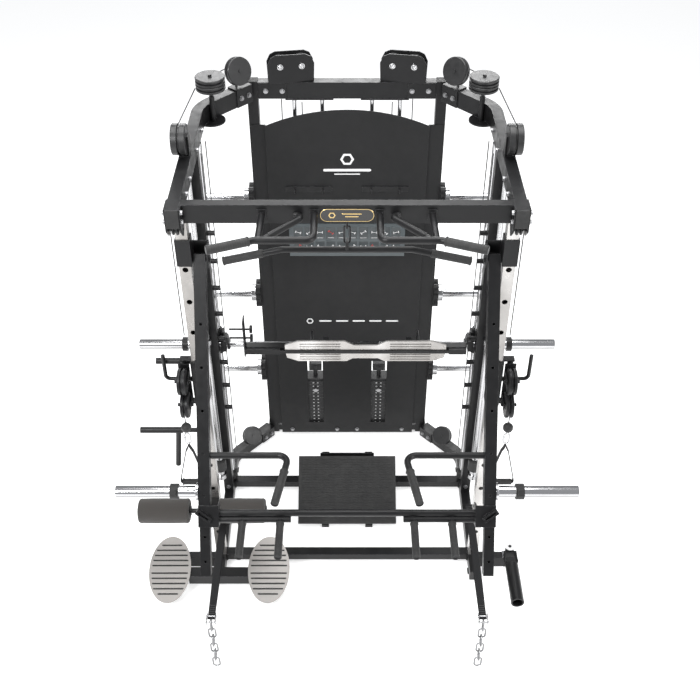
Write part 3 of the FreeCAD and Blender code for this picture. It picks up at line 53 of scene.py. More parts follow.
# ---------------------------------------------------------------- materials
class Shader:
    """A material under construction: short calls that add and join nodes."""

    def __init__(self, name):
        self.material = bpy.data.materials.new(name)
        self.material.use_nodes = True
        self.tree = self.material.node_tree
        self.surface = self.tree.nodes["Principled BSDF"]
        self.place = self.add("ShaderNodeTexCoord").outputs["Object"]

    def add(self, kind, **values):
        node = self.tree.nodes.new(kind)
        for key, value in values.items():
            if hasattr(node, key):
                setattr(node, key, value)
            else:
                node.inputs[key.replace("_", " ")].default_value = value
        return node

    def join(self, source, target):
        self.tree.links.new(source, target)

    def set(self, **values):
        for key, value in values.items():
            self.surface.inputs[key.replace("_", " ")].default_value = value

    def stretched(self, scale):
        mapping = self.add("ShaderNodeMapping")
        mapping.inputs["Scale"].default_value = scale
        self.join(self.place, mapping.inputs["Vector"])
        return mapping.outputs["Vector"]

    def clouds(self, scale, detail=3.0, place=None):
        texture = self.add("ShaderNodeTexNoise", Scale=scale, Detail=detail)
        self.join(place or self.place, texture.inputs["Vector"])
        return texture.outputs["Fac"]

    def cells(self, scale):
        texture = self.add("ShaderNodeTexVoronoi", Scale=scale)
        self.join(self.place, texture.inputs["Vector"])
        return texture.outputs["Distance"]

    def bands(self, scale, place=None, direction="X"):
        texture = self.add("ShaderNodeTexWave", Scale=scale, bands_direction=direction)
        self.join(place or self.place, texture.inputs["Vector"])
        return texture.outputs["Fac"]

    def spread(self, value, low, high, dark=0.0, light=1.0):
        ramp = self.add("ShaderNodeMapRange")
        for key, amount in (("From Min", low), ("From Max", high), ("To Min", dark), ("To Max", light)):
            ramp.inputs[key].default_value = amount
        self.join(value, ramp.inputs["Value"])
        return ramp.outputs["Result"]

    def combine(self, operation, first, second):
        node = self.add("ShaderNodeMath", operation=operation)
        for socket, value in zip(node.inputs, (first, second)):
            if isinstance(value, (int, float)):
                socket.default_value = value
            else:
                self.join(value, socket)
        return node.outputs[0]

    def blend(self, factor, first, second):
        node = self.add("ShaderNodeMix", data_type="RGBA")
        self.join(factor, node.inputs["Factor"])
        for socket, value in ((node.inputs[6], first), (node.inputs[7], second)):
            if isinstance(value, tuple):
                socket.default_value = (*value, 1)
            else:
                self.join(value, socket)
        return node.outputs[2]

    def edges(self, radius):
        """Where a hard edge is: how far the rounded normal leans from the true one."""
        rounded = self.add("ShaderNodeBevel", samples=4, Radius=radius)
        true_normal = self.add("ShaderNodeNewGeometry").outputs["Normal"]
        dot = self.add("ShaderNodeVectorMath", operation="DOT_PRODUCT")
        self.join(rounded.outputs["Normal"], dot.inputs[0])
        self.join(true_normal, dot.inputs[1])
        return rounded.outputs["Normal"], self.spread(dot.outputs["Value"], 0.995, 0.90)

    def painted_rim_reflection(self):
        """Rises towards the rim of a round bar: the mask for a painted dark reflection, as plating shows
        between pale walls and dark corners.
        """
        weight = self.add("ShaderNodeLayerWeight", Blend=0.35)
        return self.spread(weight.outputs["Facing"], 0.10, 0.62)

    def bump(self, height, strength, distance, normal=None):
        node = self.add("ShaderNodeBump", Strength=strength, Distance=distance)
        self.join(height, node.inputs["Height"])
        if normal is not None:
            self.join(normal, node.inputs["Normal"])
        self.join(node.outputs["Normal"], self.surface.inputs["Normal"])
        return node.outputs["Normal"]

    def colour(self, value):
        self.join(value, self.surface.inputs["Base Color"])

    def roughness(self, value):
        self.join(value, self.surface.inputs["Roughness"])


def coated_steel(name, dark, light, worn, rough, metallic=0.0, grain=1100, depth=0.35):
    """Powder coat: a fine pebbled skin, slow colour drift, smudged gloss and rubbed edges."""
    shader = Shader(name)
    drift = shader.clouds(5.0)
    rubbed = shader.clouds(70.0, 5.0)
    normal, edge = shader.edges(2.2 * MM)
    wear = shader.combine("MULTIPLY", edge, shader.spread(rubbed, 0.45, 0.62))
    base = shader.blend(drift, dark, light)
    shader.colour(shader.blend(wear, base, worn))
    shader.roughness(shader.spread(shader.clouds(26.0, 6.0), 0.3, 0.75, rough - 0.07, rough + 0.09))
    shader.set(Metallic=metallic, Specular_IOR_Level=0.3)
    shader.bump(shader.clouds(grain, 2.0), depth, 0.25 * MM, normal)
    return shader.material


def brushed_silver():
    """Silver lacquer over brushed steel: painted soft dark and light reflections drawn out along the tube,
    and painted shade along the edges.
    """
    shader = Shader("silver_coat")
    painted_reflection = shader.clouds(1.6, 2.0, shader.stretched((2.5, 2.5, 1.0)))
    lines = shader.clouds(500.0, 2.0, shader.stretched((1, 1, 0.04)))
    normal, edge = shader.edges(1.6 * MM)
    # Dark and light streaks in the base colour: painted reflections.
    face = shader.blend(shader.spread(painted_reflection, 0.40, 0.62), (0.36, 0.345, 0.33), (0.66, 0.645, 0.63))
    # Edges are painted darker: painted shade where the surface turns away.
    shader.colour(shader.blend(edge, face, (0.20, 0.195, 0.19)))
    shader.roughness(shader.spread(shader.clouds(26.0, 6.0), 0.3, 0.75, 0.24, 0.38))
    shader.set(Metallic=0.85)
    shader.bump(lines, 0.12, 0.08 * MM, normal)
    return shader.material


def bright_metal(name, tint, rough, along=(1, 1, 1), streak=0.25, smudge=0.05):
    """Plated or turned steel: fine lines along one direction, faint finger marks and a painted dark
    reflection towards the rims.
    """
    shader = Shader(name)
    lines = shader.clouds(700.0, 2.0, shader.stretched(along))
    marks = shader.clouds(18.0, 6.0)
    normal = shader.edges(1.2 * MM)[0]
    face_on = shader.blend(marks, tint, tuple(0.86 * part for part in tint))
    # The rim is painted darker than the face: a painted dark reflection, not a real one.
    shader.colour(shader.blend(shader.painted_rim_reflection(), face_on, tuple(0.16 * part for part in tint)))
    shader.roughness(shader.spread(marks, 0.35, 0.7, rough, rough + smudge))
    shader.set(Metallic=1.0)
    shader.bump(lines, streak, 0.05 * MM, normal)
    return shader.material


def moulded(name, dark, light, rough, grain, depth, sheen=0.0, coat=0.0):
    """Rubber and plastic: leathery grain, dusty patches and a soft sheen."""
    shader = Shader(name)
    dust = shader.clouds(14.0, 5.0)
    shader.colour(shader.blend(shader.spread(dust, 0.4, 0.8), dark, light))
    shader.roughness(shader.spread(shader.clouds(60.0), 0.3, 0.7, rough - 0.06, rough + 0.08))
    shader.set(Sheen_Weight=sheen, Sheen_Roughness=0.5, Coat_Weight=coat)
    normal = shader.edges(1.0 * MM)[0]
    height = shader.combine("ADD", shader.cells(grain), shader.clouds(grain * 1.7))
    shader.bump(height, depth, 0.3 * MM, normal)
    return shader.material


def closed_cell_foam():
    """Roller foam: a matt skin with small open pores and pressed patches."""
    shader = Shader("roller_foam")
    pores = shader.cells(620.0)
    patches = shader.clouds(9.0, 4.0)
    skin = shader.blend(patches, (0.030, 0.027, 0.024), (0.046, 0.041, 0.037))
    # The pores are painted darker than the skin: painted shade inside them.
    shader.colour(shader.blend(shader.spread(pores, 0.0, 0.22), (0.018, 0.016, 0.015), skin))
    shader.roughness(shader.spread(patches, 0.3, 0.7, 0.82, 0.95))
    shader.set(Sheen_Weight=0.15, Sheen_Roughness=0.6)
    shader.bump(shader.combine("ADD", pores, shader.clouds(160.0)), 0.55, 0.5 * MM)
    return shader.material


def webbing_cloth(name, along):
    """Woven nylon: crossed threads with a sheen."""
    shader = Shader(name)
    across = tuple(1.0 if part == 0 else 0.2 for part in along)
    warp = shader.bands(260.0, direction="DIAGONAL", place=shader.stretched(across))
    weft = shader.bands(420.0, direction="DIAGONAL", place=shader.stretched(along))
    weave = shader.combine("MULTIPLY", warp, weft)
    fuzz = shader.clouds(900.0, 4.0)
    # The weave is painted darker in the dips between threads and lighter on their crowns: painted shade and
    # highlight over the thread pattern.
    shader.colour(shader.blend(weave, (0.007, 0.007, 0.0075), (0.026, 0.026, 0.028)))
    shader.roughness(shader.spread(fuzz, 0.3, 0.7, 0.68, 0.88))
    shader.set(Sheen_Weight=0.12, Sheen_Roughness=0.4, Specular_IOR_Level=0.3)
    shader.bump(shader.combine("ADD", weave, fuzz), 0.6, 0.35 * MM)
    return shader.material


def hammered_iron():
    """Cast weight plates under thick paint."""
    shader = Shader("cast_plate")
    lumps = shader.cells(230.0)
    normal, edge = shader.edges(1.5 * MM)
    chipped = shader.combine("MULTIPLY", edge, shader.spread(shader.clouds(120.0, 6.0), 0.5, 0.6))
    base = shader.blend(shader.clouds(8.0), (0.014, 0.014, 0.0145), (0.028, 0.028, 0.029))
    shader.colour(shader.blend(chipped, base, (0.30, 0.29, 0.28)))
    shader.roughness(shader.spread(lumps, 0.0, 0.6, 0.38, 0.58))
    shader.bump(lumps, 0.5, 0.4 * MM, normal)
    return shader.material


def knurled_chrome():
    """Polished bar with two knurled zones either side of the middle, and a painted dark reflection at its
    rims.
    """
    shader = Shader("knurled_bar")
    split = shader.add("ShaderNodeSeparateXYZ")
    shader.join(shader.place, split.inputs[0])
    reach = shader.combine("ABSOLUTE", split.outputs["X"], 0.0)
    knurl_from, knurl_to = 0.16, 0.56
    zone = shader.combine("MULTIPLY", shader.combine("GREATER_THAN", reach, knurl_from),
                          shader.combine("LESS_THAN", reach, knurl_to))
    one = shader.bands(230.0, place=shader.stretched((1, 1, 1)), direction="DIAGONAL")
    two = shader.bands(230.0, place=shader.stretched((-1, 1, 1)), direction="DIAGONAL")
    diamonds = shader.combine("MULTIPLY", shader.combine("MULTIPLY", one, two), zone)
    marks = shader.clouds(20.0, 6.0)
    face_on = shader.blend(marks, (0.66, 0.66, 0.67), (0.54, 0.54, 0.55))
    # The rim of the bar is painted dark: a painted dark reflection.
    shader.colour(shader.blend(shader.painted_rim_reflection(), face_on, (0.08, 0.08, 0.08)))
    shader.roughness(shader.combine("ADD", shader.spread(marks, 0.3, 0.7, 0.10, 0.18),
                                    shader.combine("MULTIPLY", zone, 0.15)))
    shader.set(Metallic=1.0)
    shader.bump(diamonds, 0.7, 0.4 * MM)
    return shader.material


def gloss_enamel(name, dark, light, rough, metallic=0.0):
    """A lacquered plate: orange-peel gloss with fine dust."""
    shader = Shader(name)
    peel = shader.clouds(240.0)
    shader.colour(shader.blend(shader.clouds(12.0, 5.0), dark, light))
    shader.roughness(shader.spread(shader.clouds(90.0), 0.3, 0.7, rough, rough + 0.12))
    shader.set(Metallic=metallic, Coat_Weight=0.4)
    shader.bump(peel, 0.2, 0.15 * MM)
    return shader.material


def pale_floor():
    """A near-white floor that glows a little, so that it stays white far from the lamps."""
    shader = Shader("studio_floor")
    shader.colour(shader.blend(shader.clouds(0.7), (0.80, 0.80, 0.80), (0.84, 0.84, 0.84)))
    shader.set(Roughness=0.8, Specular_IOR_Level=0.05, Emission_Color=(1, 1, 1, 1), Emission_Strength=0.55)
    shader.bump(shader.clouds(90.0), 0.05, 1 * MM)
    return shader.material


BLACK = coated_steel("black_powder_coat", (0.006, 0.006, 0.0065), (0.011, 0.011, 0.0115),
                     (0.09, 0.09, 0.095), 0.36)
SHROUD = coated_steel("shroud_coat", (0.007, 0.007, 0.0075), (0.011, 0.011, 0.0115), (0.06, 0.06, 0.06), 0.46,
                      grain=800, depth=0.25)
SILVER = brushed_silver()
PEDAL = coated_steel("pedal_coat", (0.30, 0.285, 0.27), (0.36, 0.345, 0.33), (0.50, 0.48, 0.46), 0.42, 0.35)
CHROME = bright_metal("chrome_plate", (0.70, 0.70, 0.71), 0.12)
GALVANISED = bright_metal("zinc_plate", (0.46, 0.46, 0.47), 0.28, (1, 1, 1), 0.5, 0.15)
KNURLED = knurled_chrome()
RUBBER = moulded("black_rubber", (0.009, 0.009, 0.009), (0.020, 0.0195, 0.019), 0.62, 900.0, 0.45, sheen=0.08)
PLASTIC = moulded("pulley_nylon", (0.010, 0.010, 0.0105), (0.018, 0.018, 0.0185), 0.42, 500.0, 0.12, coat=0.1)
CABLE = moulded("cable_sheath", (0.015, 0.015, 0.015), (0.03, 0.03, 0.03), 0.35, 1500.0, 0.15, coat=0.3)
FOAM = closed_cell_foam()
IRON = hammered_iron()
STRAP = webbing_cloth("strap_webbing", (0.15, 1.0, 1.0))
LOOP = webbing_cloth("handle_webbing", (1.0, 1.0, 0.25))
BOARD = gloss_enamel("printed_board", (0.060, 0.075, 0.080), (0.085, 0.100, 0.106), 0.36)
GLOSS = gloss_enamel("badge_black", (0.012, 0.012, 0.012), (0.020, 0.020, 0.020), 0.16)
GOLD = gloss_enamel("badge_gold", (0.62, 0.44, 0.18), (0.74, 0.56, 0.27), 0.22, 1.0)
WHITE = gloss_enamel("print_white", (0.72, 0.72, 0.72), (0.82, 0.82, 0.82), 0.45)
RED = gloss_enamel("print_red", (0.45, 0.03, 0.025), (0.55, 0.05, 0.04), 0.45)

NODE_MATERIALS = {
    SILVER: ["front_columns", "leg_press_plate"],
    SHROUD: ["back_panel"],
    PEDAL: ["foot_pedals"],
    CHROME: ["guide_rods", "plate_horns", "press_sleeves", "selector_pin_left", "selector_pin_right",
             "landmine_base"],
    GALVANISED: ["frame_bolts", "chains"],
    KNURLED: ["smith_bar"],
    RUBBER: ["feet_and_caps", "sleeve_collars", "footplate"],
    PLASTIC: ["fixed_pulleys", "top_pulleys"],
    CABLE: ["cables"],
    IRON: ["resting_plates", "lifted_stack_left", "lifted_stack_right"],
    BOARD: ["exercise_board"],
}


def paint_nodes():
    """Give every CAD node its finish; what is not listed is black powder-coated steel."""
    chosen = {node: material for material, nodes in NODE_MATERIALS.items() for node in nodes}
    for node, item in NODES.items():
        item.data.materials.clear()
        item.data.materials.append(chosen.get(node, BLACK))


# ---------------------------------------------------------------- mesh helpers
def piece(name, mesh, material, body, stands_for=()):
    """Make an object from a bmesh in the row frame, smooth it by angle and let it ride on a body."""
    bmesh.ops.recalc_face_normals(mesh, faces=mesh.faces)
    for face in mesh.faces:
        face.smooth = True
    for edge in mesh.edges:
        if len(edge.link_faces) == 2 and edge.calc_face_angle() > math.radians(34):
            edge.smooth = False
    data = bpy.data.meshes.new(name)
    mesh.to_mesh(data)
    mesh.free()
    data.materials.append(material)
    item = bpy.data.objects.new(name, data)
    bpy.context.scene.collection.objects.link(item)
    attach(item, body)
    if stands_for:
        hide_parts(*stands_for)
    return item


def frame_at(start, direction):
    """A matrix whose Z runs along a direction from a start point."""
    axis = Vector(direction).normalized()
    turn = Vector((0, 0, 1)).rotation_difference(axis).to_matrix().to_4x4()
    return Matrix.Translation(Vector(start)) @ turn


def lathe(mesh, profile, start, direction, segments=40):
    """Turn a profile of (along, radius) points about an axis; ends at radius zero close the form."""
    place = frame_at(start, direction)
    rings = []
    for along, radius in profile:
        if radius < 1e-6:
            rings.append([mesh.verts.new(place @ Vector((0, 0, along)))])
            continue
        angles = [2 * math.pi / segments * turn for turn in range(segments)]
        points = [Vector((radius * math.cos(angle), radius * math.sin(angle), along)) for angle in angles]
        rings.append([mesh.verts.new(place @ point) for point in points])
    loops = list(zip(rings, rings[1:]))
    if len(rings[0]) > 1 and len(rings[-1]) > 1:
        loops.append((rings[-1], rings[0]))
    for near, far in loops:
        for turn in range(segments):
            after = (turn + 1) % segments
            corners = [near[turn % len(near)], near[after % len(near)],
                       far[after % len(far)], far[turn % len(far)]]
            unique = list(dict.fromkeys(corners))
            if len(unique) > 2:
                mesh.faces.new(unique)
    return mesh


def rounded(points, bend, steps=6):
    """Replace each corner of a polyline by an arc."""
    points = [Vector(point) for point in points]
    out = [points[0]]
    for before, corner, after in zip(points, points[1:], points[2:]):
        incoming, outgoing = (before - corner).normalized(), (after - corner).normalized()
        reach = min(bend, 0.45 * (before - corner).length, 0.45 * (after - corner).length)
        for step in range(steps + 1):
            part = step / steps
            first = corner + incoming * reach * (1 - part)
            second = corner + outgoing * reach * part
            out.append(first.lerp(second, part))
    out.append(points[-1])
    return out


def swept(mesh, points, section, side, closed=False):
    """Sweep a section of (across, out) points along a polyline; side says which way 'across' looks."""
    rings = []
    count = len(points)
    for index, point in enumerate(points):
        before = points[index - 1] if index or closed else point
        after = points[(index + 1) % count] if index < count - 1 or closed else point
        forward = (after - before).normalized()
        across = Vector(side) - forward * forward.dot(Vector(side))
        across.normalize()
        out = forward.cross(across)
        rings.append([mesh.verts.new(point + across * a + out * b) for a, b in section])
    pairs = list(zip(rings, rings[1:]))
    if closed:
        pairs.append((rings[-1], rings[0]))
    size = len(section)
    for near, far in pairs:
        for corner in range(size):
            after = (corner + 1) % size
            mesh.faces.new((near[corner], near[after], far[after], far[corner]))
    if not closed:
        mesh.faces.new(rings[0])
        mesh.faces.new(rings[-1])
    return mesh


def circle_section(radius, segments=14):
    angles = [2 * math.pi * part / segments for part in range(segments)]
    return [(radius * math.cos(angle), radius * math.sin(angle)) for angle in angles]


def band_section(width, thickness):
    """A strap's section with soft edges."""
    half, thick = width / 2, thickness / 2
    soft = thick * 0.9
    return [(-half, 0), (-half + soft, thick), (half - soft, thick), (half, 0), (half - soft, -thick),
            (-half + soft, -thick)]


def rounded_block(mesh, low, high, radius, matrix=None):
    """A block with bevelled edges."""
    low, high = Vector(low), Vector(high)
    made = bmesh.ops.create_cube(mesh, size=1.0)["verts"]
    bmesh.ops.scale(mesh, verts=made, vec=high - low)
    bmesh.ops.translate(mesh, verts=made, vec=(low + high) / 2)
    edges = list({edge for vert in made for edge in vert.link_edges})
    result = bmesh.ops.bevel(mesh, geom=edges, offset=radius, segments=3, affect="EDGES", profile=0.5)
    verts = list({vert for face in result["faces"] for vert in face.verts} | {v for v in made if v.is_valid})
    if matrix is not None:
        bmesh.ops.transform(mesh, matrix=matrix, verts=verts)
    return mesh


# ---------------------------------------------------------------- places shared by the pieces
SIDES = {"right": 1, "left": -1}
PIVOT = Vector(JOINTS["press_arms_lift"]["pos_m"])
ARM = Vector(JOINTS["arm_extensions_slide"]["axis"])
CROSS_TUBE_AT = 1.108  # from the pivot along the arm
BENT_HANDLE_AT = 0.829
BENT_HANDLE_X = 0.246
BENT_HANDLE_REACH = Vector((0.046, -0.270, 0))
BALL_BASE = 1.083  # lower end of the rubber ball above each cable handle
STRAP_TOP = 1.004
PEDAL_Z = 0.1245
PEDAL_TILT = math.radians(20)
HOUSING_X, HOUSING_Y, HOUSING_Z = 0.262, 0.644, 2.338
HOUSING_TURN = math.radians(-9)
STACK_X, PLATE_PITCH = 0.184, 0.026
FIXED_PLATES, LIFTED_PLATES = 10, 3


# ---------------------------------------------------------------- grips
def ribbed_profile(length, radius, bore, rib=0.7 * MM, pitch=6 * MM, lip=2.2 * MM):
    """The outline of a rubber grip: a lip at each end and shallow ribs between."""
    profile = [(0, bore), (0, radius + lip - 1 * MM), (1 * MM, radius + lip), (4 * MM, radius + lip),
               (5.5 * MM, radius)]
    along = 9 * MM
    while along < length - 12 * MM:
        profile += [(along, radius), (along + 0.8 * MM, radius - rib), (along + 2.0 * MM, radius - rib),
                    (along + 2.8 * MM, radius)]
        along += pitch
    profile += [(length - 3 * MM, radius), (length - 1 * MM, radius - 0.8 * MM), (length, radius - 2 * MM),
                (length, bore)]
    return profile


def grip_between(mesh, start, end, radius, bore, **detail):
    start, end = Vector(start), Vector(end)
    lathe(mesh, ribbed_profile((end - start).length, radius, bore, **detail), start, end - start, 32)


def press_grips():
    """Grips of the press arms: four level forward bars and two bent handles."""
    mesh = bmesh.new()
    tube = PIVOT + ARM * CROSS_TUBE_AT
    for x in (0.285, 0.446):
        for side in (1, -1):
            start, end = (side * x, tube.y - 0.025, tube.z), (side * x, tube.y - 0.206, tube.z)
            grip_between(mesh, start, end, 16.5 * MM, 12 * MM)
    corner = PIVOT + ARM * BENT_HANDLE_AT
    for side in (1, -1):
        start = Vector((side * BENT_HANDLE_X, corner.y, corner.z))
        along = Vector((side * BENT_HANDLE_REACH.x, BENT_HANDLE_REACH.y, 0))
        grip_between(mesh, start + along * 0.34, start + along * 1.01, 17 * MM, 14 * MM)
    piece("press_grip_rubber", mesh, RUBBER, "press_arms", ["press_grips"])


def pull_up_grips():
    """Smooth rubber sleeves on the outer ends and knurled sleeves on the slanted inner bars."""
    low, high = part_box("pull_up_grips")
    level = (low.z + high.z) / 2
    mesh = bmesh.new()
    knurl = bmesh.new()
    for side in (1, -1):
        inner, outer = (side * 0.362, -0.6567, level), (side * 0.5135, -0.7163, level)
        grip_between(mesh, inner, outer, 17.5 * MM, 14 * MM, rib=0.3 * MM, pitch=9 * MM)
        start, end = Vector((side * 0.292, -0.6246, level)), Vector((side * 0.182, -0.5036, level))
        knurled_sleeve(knurl, start, end, 12 * MM, 13.6 * MM)
    piece("pull_up_grip_rubber", mesh, RUBBER, "frame", ["pull_up_grips"])
    piece("pull_up_knurled_sleeve", knurl, BLACK, "frame")


def knurled_sleeve(mesh, start, end, bore, radius):
    """A sleeve with crossing ridges cut by shifting every other ring of points."""
    segments = 36
    length = (end - start).length
    rows = int(length / (3.4 * MM))
    place = frame_at(start, end - start)
    rings = []
    for row in range(rows + 1):
        ring = []
        for turn in range(segments):
            ridge = 0.7 * MM if (turn + row) % 2 and 0 < row < rows else 0
            angle = 2 * math.pi * turn / segments
            out = radius - ridge
            ring.append(mesh.verts.new(place @ Vector((out * math.cos(angle), out * math.sin(angle),
                                                       length * row / rows))))
        rings.append(ring)
    caps = []
    for along in (0, length):
        caps.append([mesh.verts.new(place @ Vector((bore * math.cos(2 * math.pi * turn / segments),
                                                    bore * math.sin(2 * math.pi * turn / segments), along)))
                     for turn in range(segments)])
    order = [caps[0]] + rings + [caps[1], caps[0]]
    for near, far in zip(order, order[1:]):
        for turn in range(segments):
            after = (turn + 1) % segments
            mesh.faces.new((near[turn], near[after], far[after], far[turn]))


def lat_grips():
    """Rubber grips on the drooping ends of the lat bar."""
    mesh = bmesh.new()
    low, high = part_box("lat_bar")
    y = (low.y + high.y) / 2
    for side in (1, -1):
        end = Vector((side * 0.4925, y, 1.9949))
        bend = Vector((side * 0.256, y, 2.050))
        grip_between(mesh, end, end + (bend - end) * 0.68, 16.8 * MM, 13 * MM)
    piece("lat_grip_rubber", mesh, RUBBER, "lat_bar", ["lat_grips"])


# ---------------------------------------------------------------- foam rollers
def foam_rollers():
    """Two soft rollers: crowned, with rolled edges, dished ends and a slightly uneven skin."""
    low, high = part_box("foam_rollers")
    centre_y, centre_z = (low.y + high.y) / 2, (low.z + high.z) / 2
    radius = (high.z - low.z) / 2
    spans = ((low.x, 0.251), (high.x - 0.232, 0.232))
    mesh = bmesh.new()
    for start, length in spans:
        bore, roll = 12.2 * MM, 13 * MM
        profile = [(4 * MM, bore), (3.5 * MM, radius * 0.35), (1.5 * MM, radius * 0.6), (0, radius - roll)]
        for step in range(1, 7):
            angle = math.pi / 2 * step / 6
            out = radius - roll + (roll - 0.6 * MM) * math.sin(angle)
            profile.append((roll * (1 - math.cos(angle)), out))
        for step in range(1, 24):
            part = step / 24
            crown = -1.4 * MM * (2 * part - 1) ** 4
            profile.append((roll + (length - 2 * roll) * part, radius - 0.4 * MM + crown))
        profile += [(length - along, out) for along, out in reversed(profile[:10])]
        lathe(mesh, profile, (start, centre_y, centre_z), (1, 0, 0), 64)
    for vert in mesh.verts:
        away = Vector((0, vert.co.y - centre_y, vert.co.z - centre_z))
        if away.length > 30 * MM:
            dent = noise.noise(vert.co * 26.0) * 0.9 * MM - 0.9 * MM
            vert.co += away.normalized() * dent
    piece("roller_foam", mesh, FOAM, "foam_rollers", ["foam_rollers"])


# ---------------------------------------------------------------- trainer handles
def trainer_handle(name):
    """Cable, rubber ball stop, snap link and a stitched webbing handle with a ribbed grip."""
    body = f"handle_{name}"
    node = f"trainer_handle_{name}"
    low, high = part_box(node)
    x, y = (low.x + high.x) / 2, (low.y + high.y) / 2
    cable = bmesh.new()
    ends = [Vector((x, y, high.z)), Vector((x, y, BALL_BASE + 44 * MM))]
    swept(cable, ends, circle_section(2.6 * MM), (1, 0, 0))
    piece(f"handle_cable_{name}", cable, CABLE, body)
    ball = bmesh.new()
    profile = [(0, 0)]
    for step in range(1, 17):
        angle = math.pi * step / 17
        groove = 1.2 * MM if step in (8, 9) else 0
        profile.append((23 * MM * (1 - math.cos(angle)), 24 * MM * math.sin(angle) - groove))
    profile.append((46 * MM, 6 * MM))
    profile += [(53 * MM, 6 * MM), (53 * MM, 0)]
    lathe(ball, profile, (x, y, BALL_BASE), (0, 0, 1), 40)
    piece(f"handle_stop_{name}", ball, RUBBER, body)
    snap_link(name, body, x, y)
    webbing_handle(name, body, node, x, y)


def snap_link(name, body, x, y):
    """A forged oval link with a gate sleeve on one leg and a swivel shank into the ball."""
    link = bmesh.new()
    low, high = STRAP_TOP - 2 * MM, BALL_BASE - 14 * MM
    outline = [(x - 13 * MM, y, low + 34 * MM), (x - 13 * MM, y, low + 12 * MM), (x, y, low),
               (x + 13 * MM, y, low + 12 * MM), (x + 13 * MM, y, high - 12 * MM), (x + 7 * MM, y, high),
               (x - 7 * MM, y, high), (x - 13 * MM, y, high - 12 * MM)]
    path = rounded(outline, 9 * MM) + [Vector((x - 13 * MM, y, low + 34.2 * MM))]
    swept(link, path, circle_section(3.8 * MM), (0, 1, 0))
    lathe(link, [(0, 0), (0, 5 * MM), (24 * MM, 5 * MM), (24 * MM, 0)], (x - 13 * MM, y, low + 22 * MM),
          (0, 0, 1), 18)
    lathe(link, [(0, 0), (0, 5.5 * MM), (5 * MM, 6.5 * MM), (18 * MM, 4 * MM), (18 * MM, 0)],
          (x, y, high - 4 * MM), (0, 0, 1), 18)
    piece(f"handle_snap_link_{name}", link, CHROME, body)


def webbing_handle(name, body, node, x, y):
    """The strap runs from the link down both sides and through the grip's tube."""
    half, top, bar = 60 * MM, STRAP_TOP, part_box(node)[0].z + 15 * MM
    right_side = [(5, top - 22 * MM), (16, top - 44 * MM), (60, bar + 16 * MM), (57, bar + 1 * MM), (44, bar)]
    outline = [(x, y, top)] + [(x + out * MM, y, z) for out, z in right_side]
    outline += [(x - out * MM, y, z) for out, z in reversed(right_side)]
    points = rounded(outline + outline[:1], 9 * MM)[:-1]
    mesh = bmesh.new()
    swept(mesh, points, band_section(23 * MM, 4.6 * MM), (0, 1, 0), closed=True)
    piece(f"handle_webbing_{name}", mesh, LOOP, body, [node])
    tack = bmesh.new()
    for row in range(5):
        level = top - (27 + 5 * row) * MM
        for column in (-1, 1):
            out = x + column * (9 + 2.4 * row) * MM
            swept(tack, [Vector((out, y - 8 * MM, level)), Vector((out, y + 8 * MM, level))],
                  circle_section(0.9 * MM, 8), (1, 0, 0))
    piece(f"handle_stitching_{name}", tack, THREAD, body)
    grip = bmesh.new()
    grip_between(grip, (x - half + 8 * MM, y, bar), (x + half - 8 * MM, y, bar), 14.5 * MM, 9 * MM,
                 rib=0.8 * MM, pitch=7 * MM)
    piece(f"handle_grip_{name}", grip, RUBBER, body)


THREAD = moulded("stitch_thread", (0.05, 0.05, 0.05), (0.10, 0.10, 0.10), 0.8, 1800.0, 0.4, sheen=0.2)


# ---------------------------------------------------------------- strap arms
def safety_straps():
    """A doubled webbing strap on each side, sagging apart in the middle, sewn at its ends, with a clevis."""
    low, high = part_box("safety_straps")
    straps, clevises, threads = bmesh.new(), bmesh.new(), bmesh.new()
    front, back = low.y + 30 * MM, high.y
    top, bottom = high.z - 4 * MM, low.z + 4 * MM
    for side in (1, -1):
        x = side * (high.x - 25 * MM)
        for upper in (True, False):
            points = []
            for step in range(33):
                part = step / 32
                y = back + (front - back) * part
                belly = math.sin(math.pi * min(1, max(0, (part - 0.10) / 0.8))) ** 0.7
                middle = (top + bottom) / 2
                level = middle + (top - middle) * belly
                if not upper:
                    level = middle - 2.8 * MM - (middle - bottom - 3 * MM) * belly
                points.append(Vector((x, y, level)))
            swept(straps, points, band_section(34 * MM, 3.0 * MM), (1, 0, 0))
        for row in range(6):
            for anchor, way in ((front, 1), (back, -1)):
                y = anchor + way * (16 + 11 * row) * MM
                level = (top + bottom) / 2 + 1.6 * MM + (0.5 * MM if row < 5 else 2.0 * MM)
                swept(threads, [Vector((x - 13 * MM, y, level)), Vector((x + 13 * MM, y, level))],
                      circle_section(0.8 * MM, 8), (0, 0, 1))
        clevis(clevises, x, front, (top + bottom) / 2)
    piece("safety_strap_webbing", straps, STRAP, "frame", ["safety_straps"])
    piece("safety_strap_stitching", threads, THREAD, "frame")
    piece("safety_strap_clevis", clevises, CHROME, "frame")


def clevis(mesh, x, front, level):
    """A bent shackle around the strap's end and the pin that the chain hangs from."""
    pin_y = JOINTS["chains_swing"]["pos_m"][1]
    thick, tall, reach = 1.8 * MM, 13 * MM, 24 * MM
    cheek = [(-thick, -tall), (thick, -tall), (thick, tall), (-thick, tall)]
    for sign in (-1, 1):
        out = x + sign * 20 * MM
        ends = [Vector((out, pin_y - 9 * MM, level)), Vector((out, front + 24 * MM, level))]
        swept(mesh, ends, cheek, (1, 0, 0))
    head, wide, narrow = 3 * MM, 6 * MM, 4 * MM
    pin = [(0, 0), (0, wide), (head, wide), (head, narrow), (2 * reach - head, narrow),
           (2 * reach - head, wide), (2 * reach, wide), (2 * reach, 0)]
    for y in (pin_y, front + 14 * MM):
        lathe(mesh, pin, (x - reach, y, level), (1, 0, 0), 20)


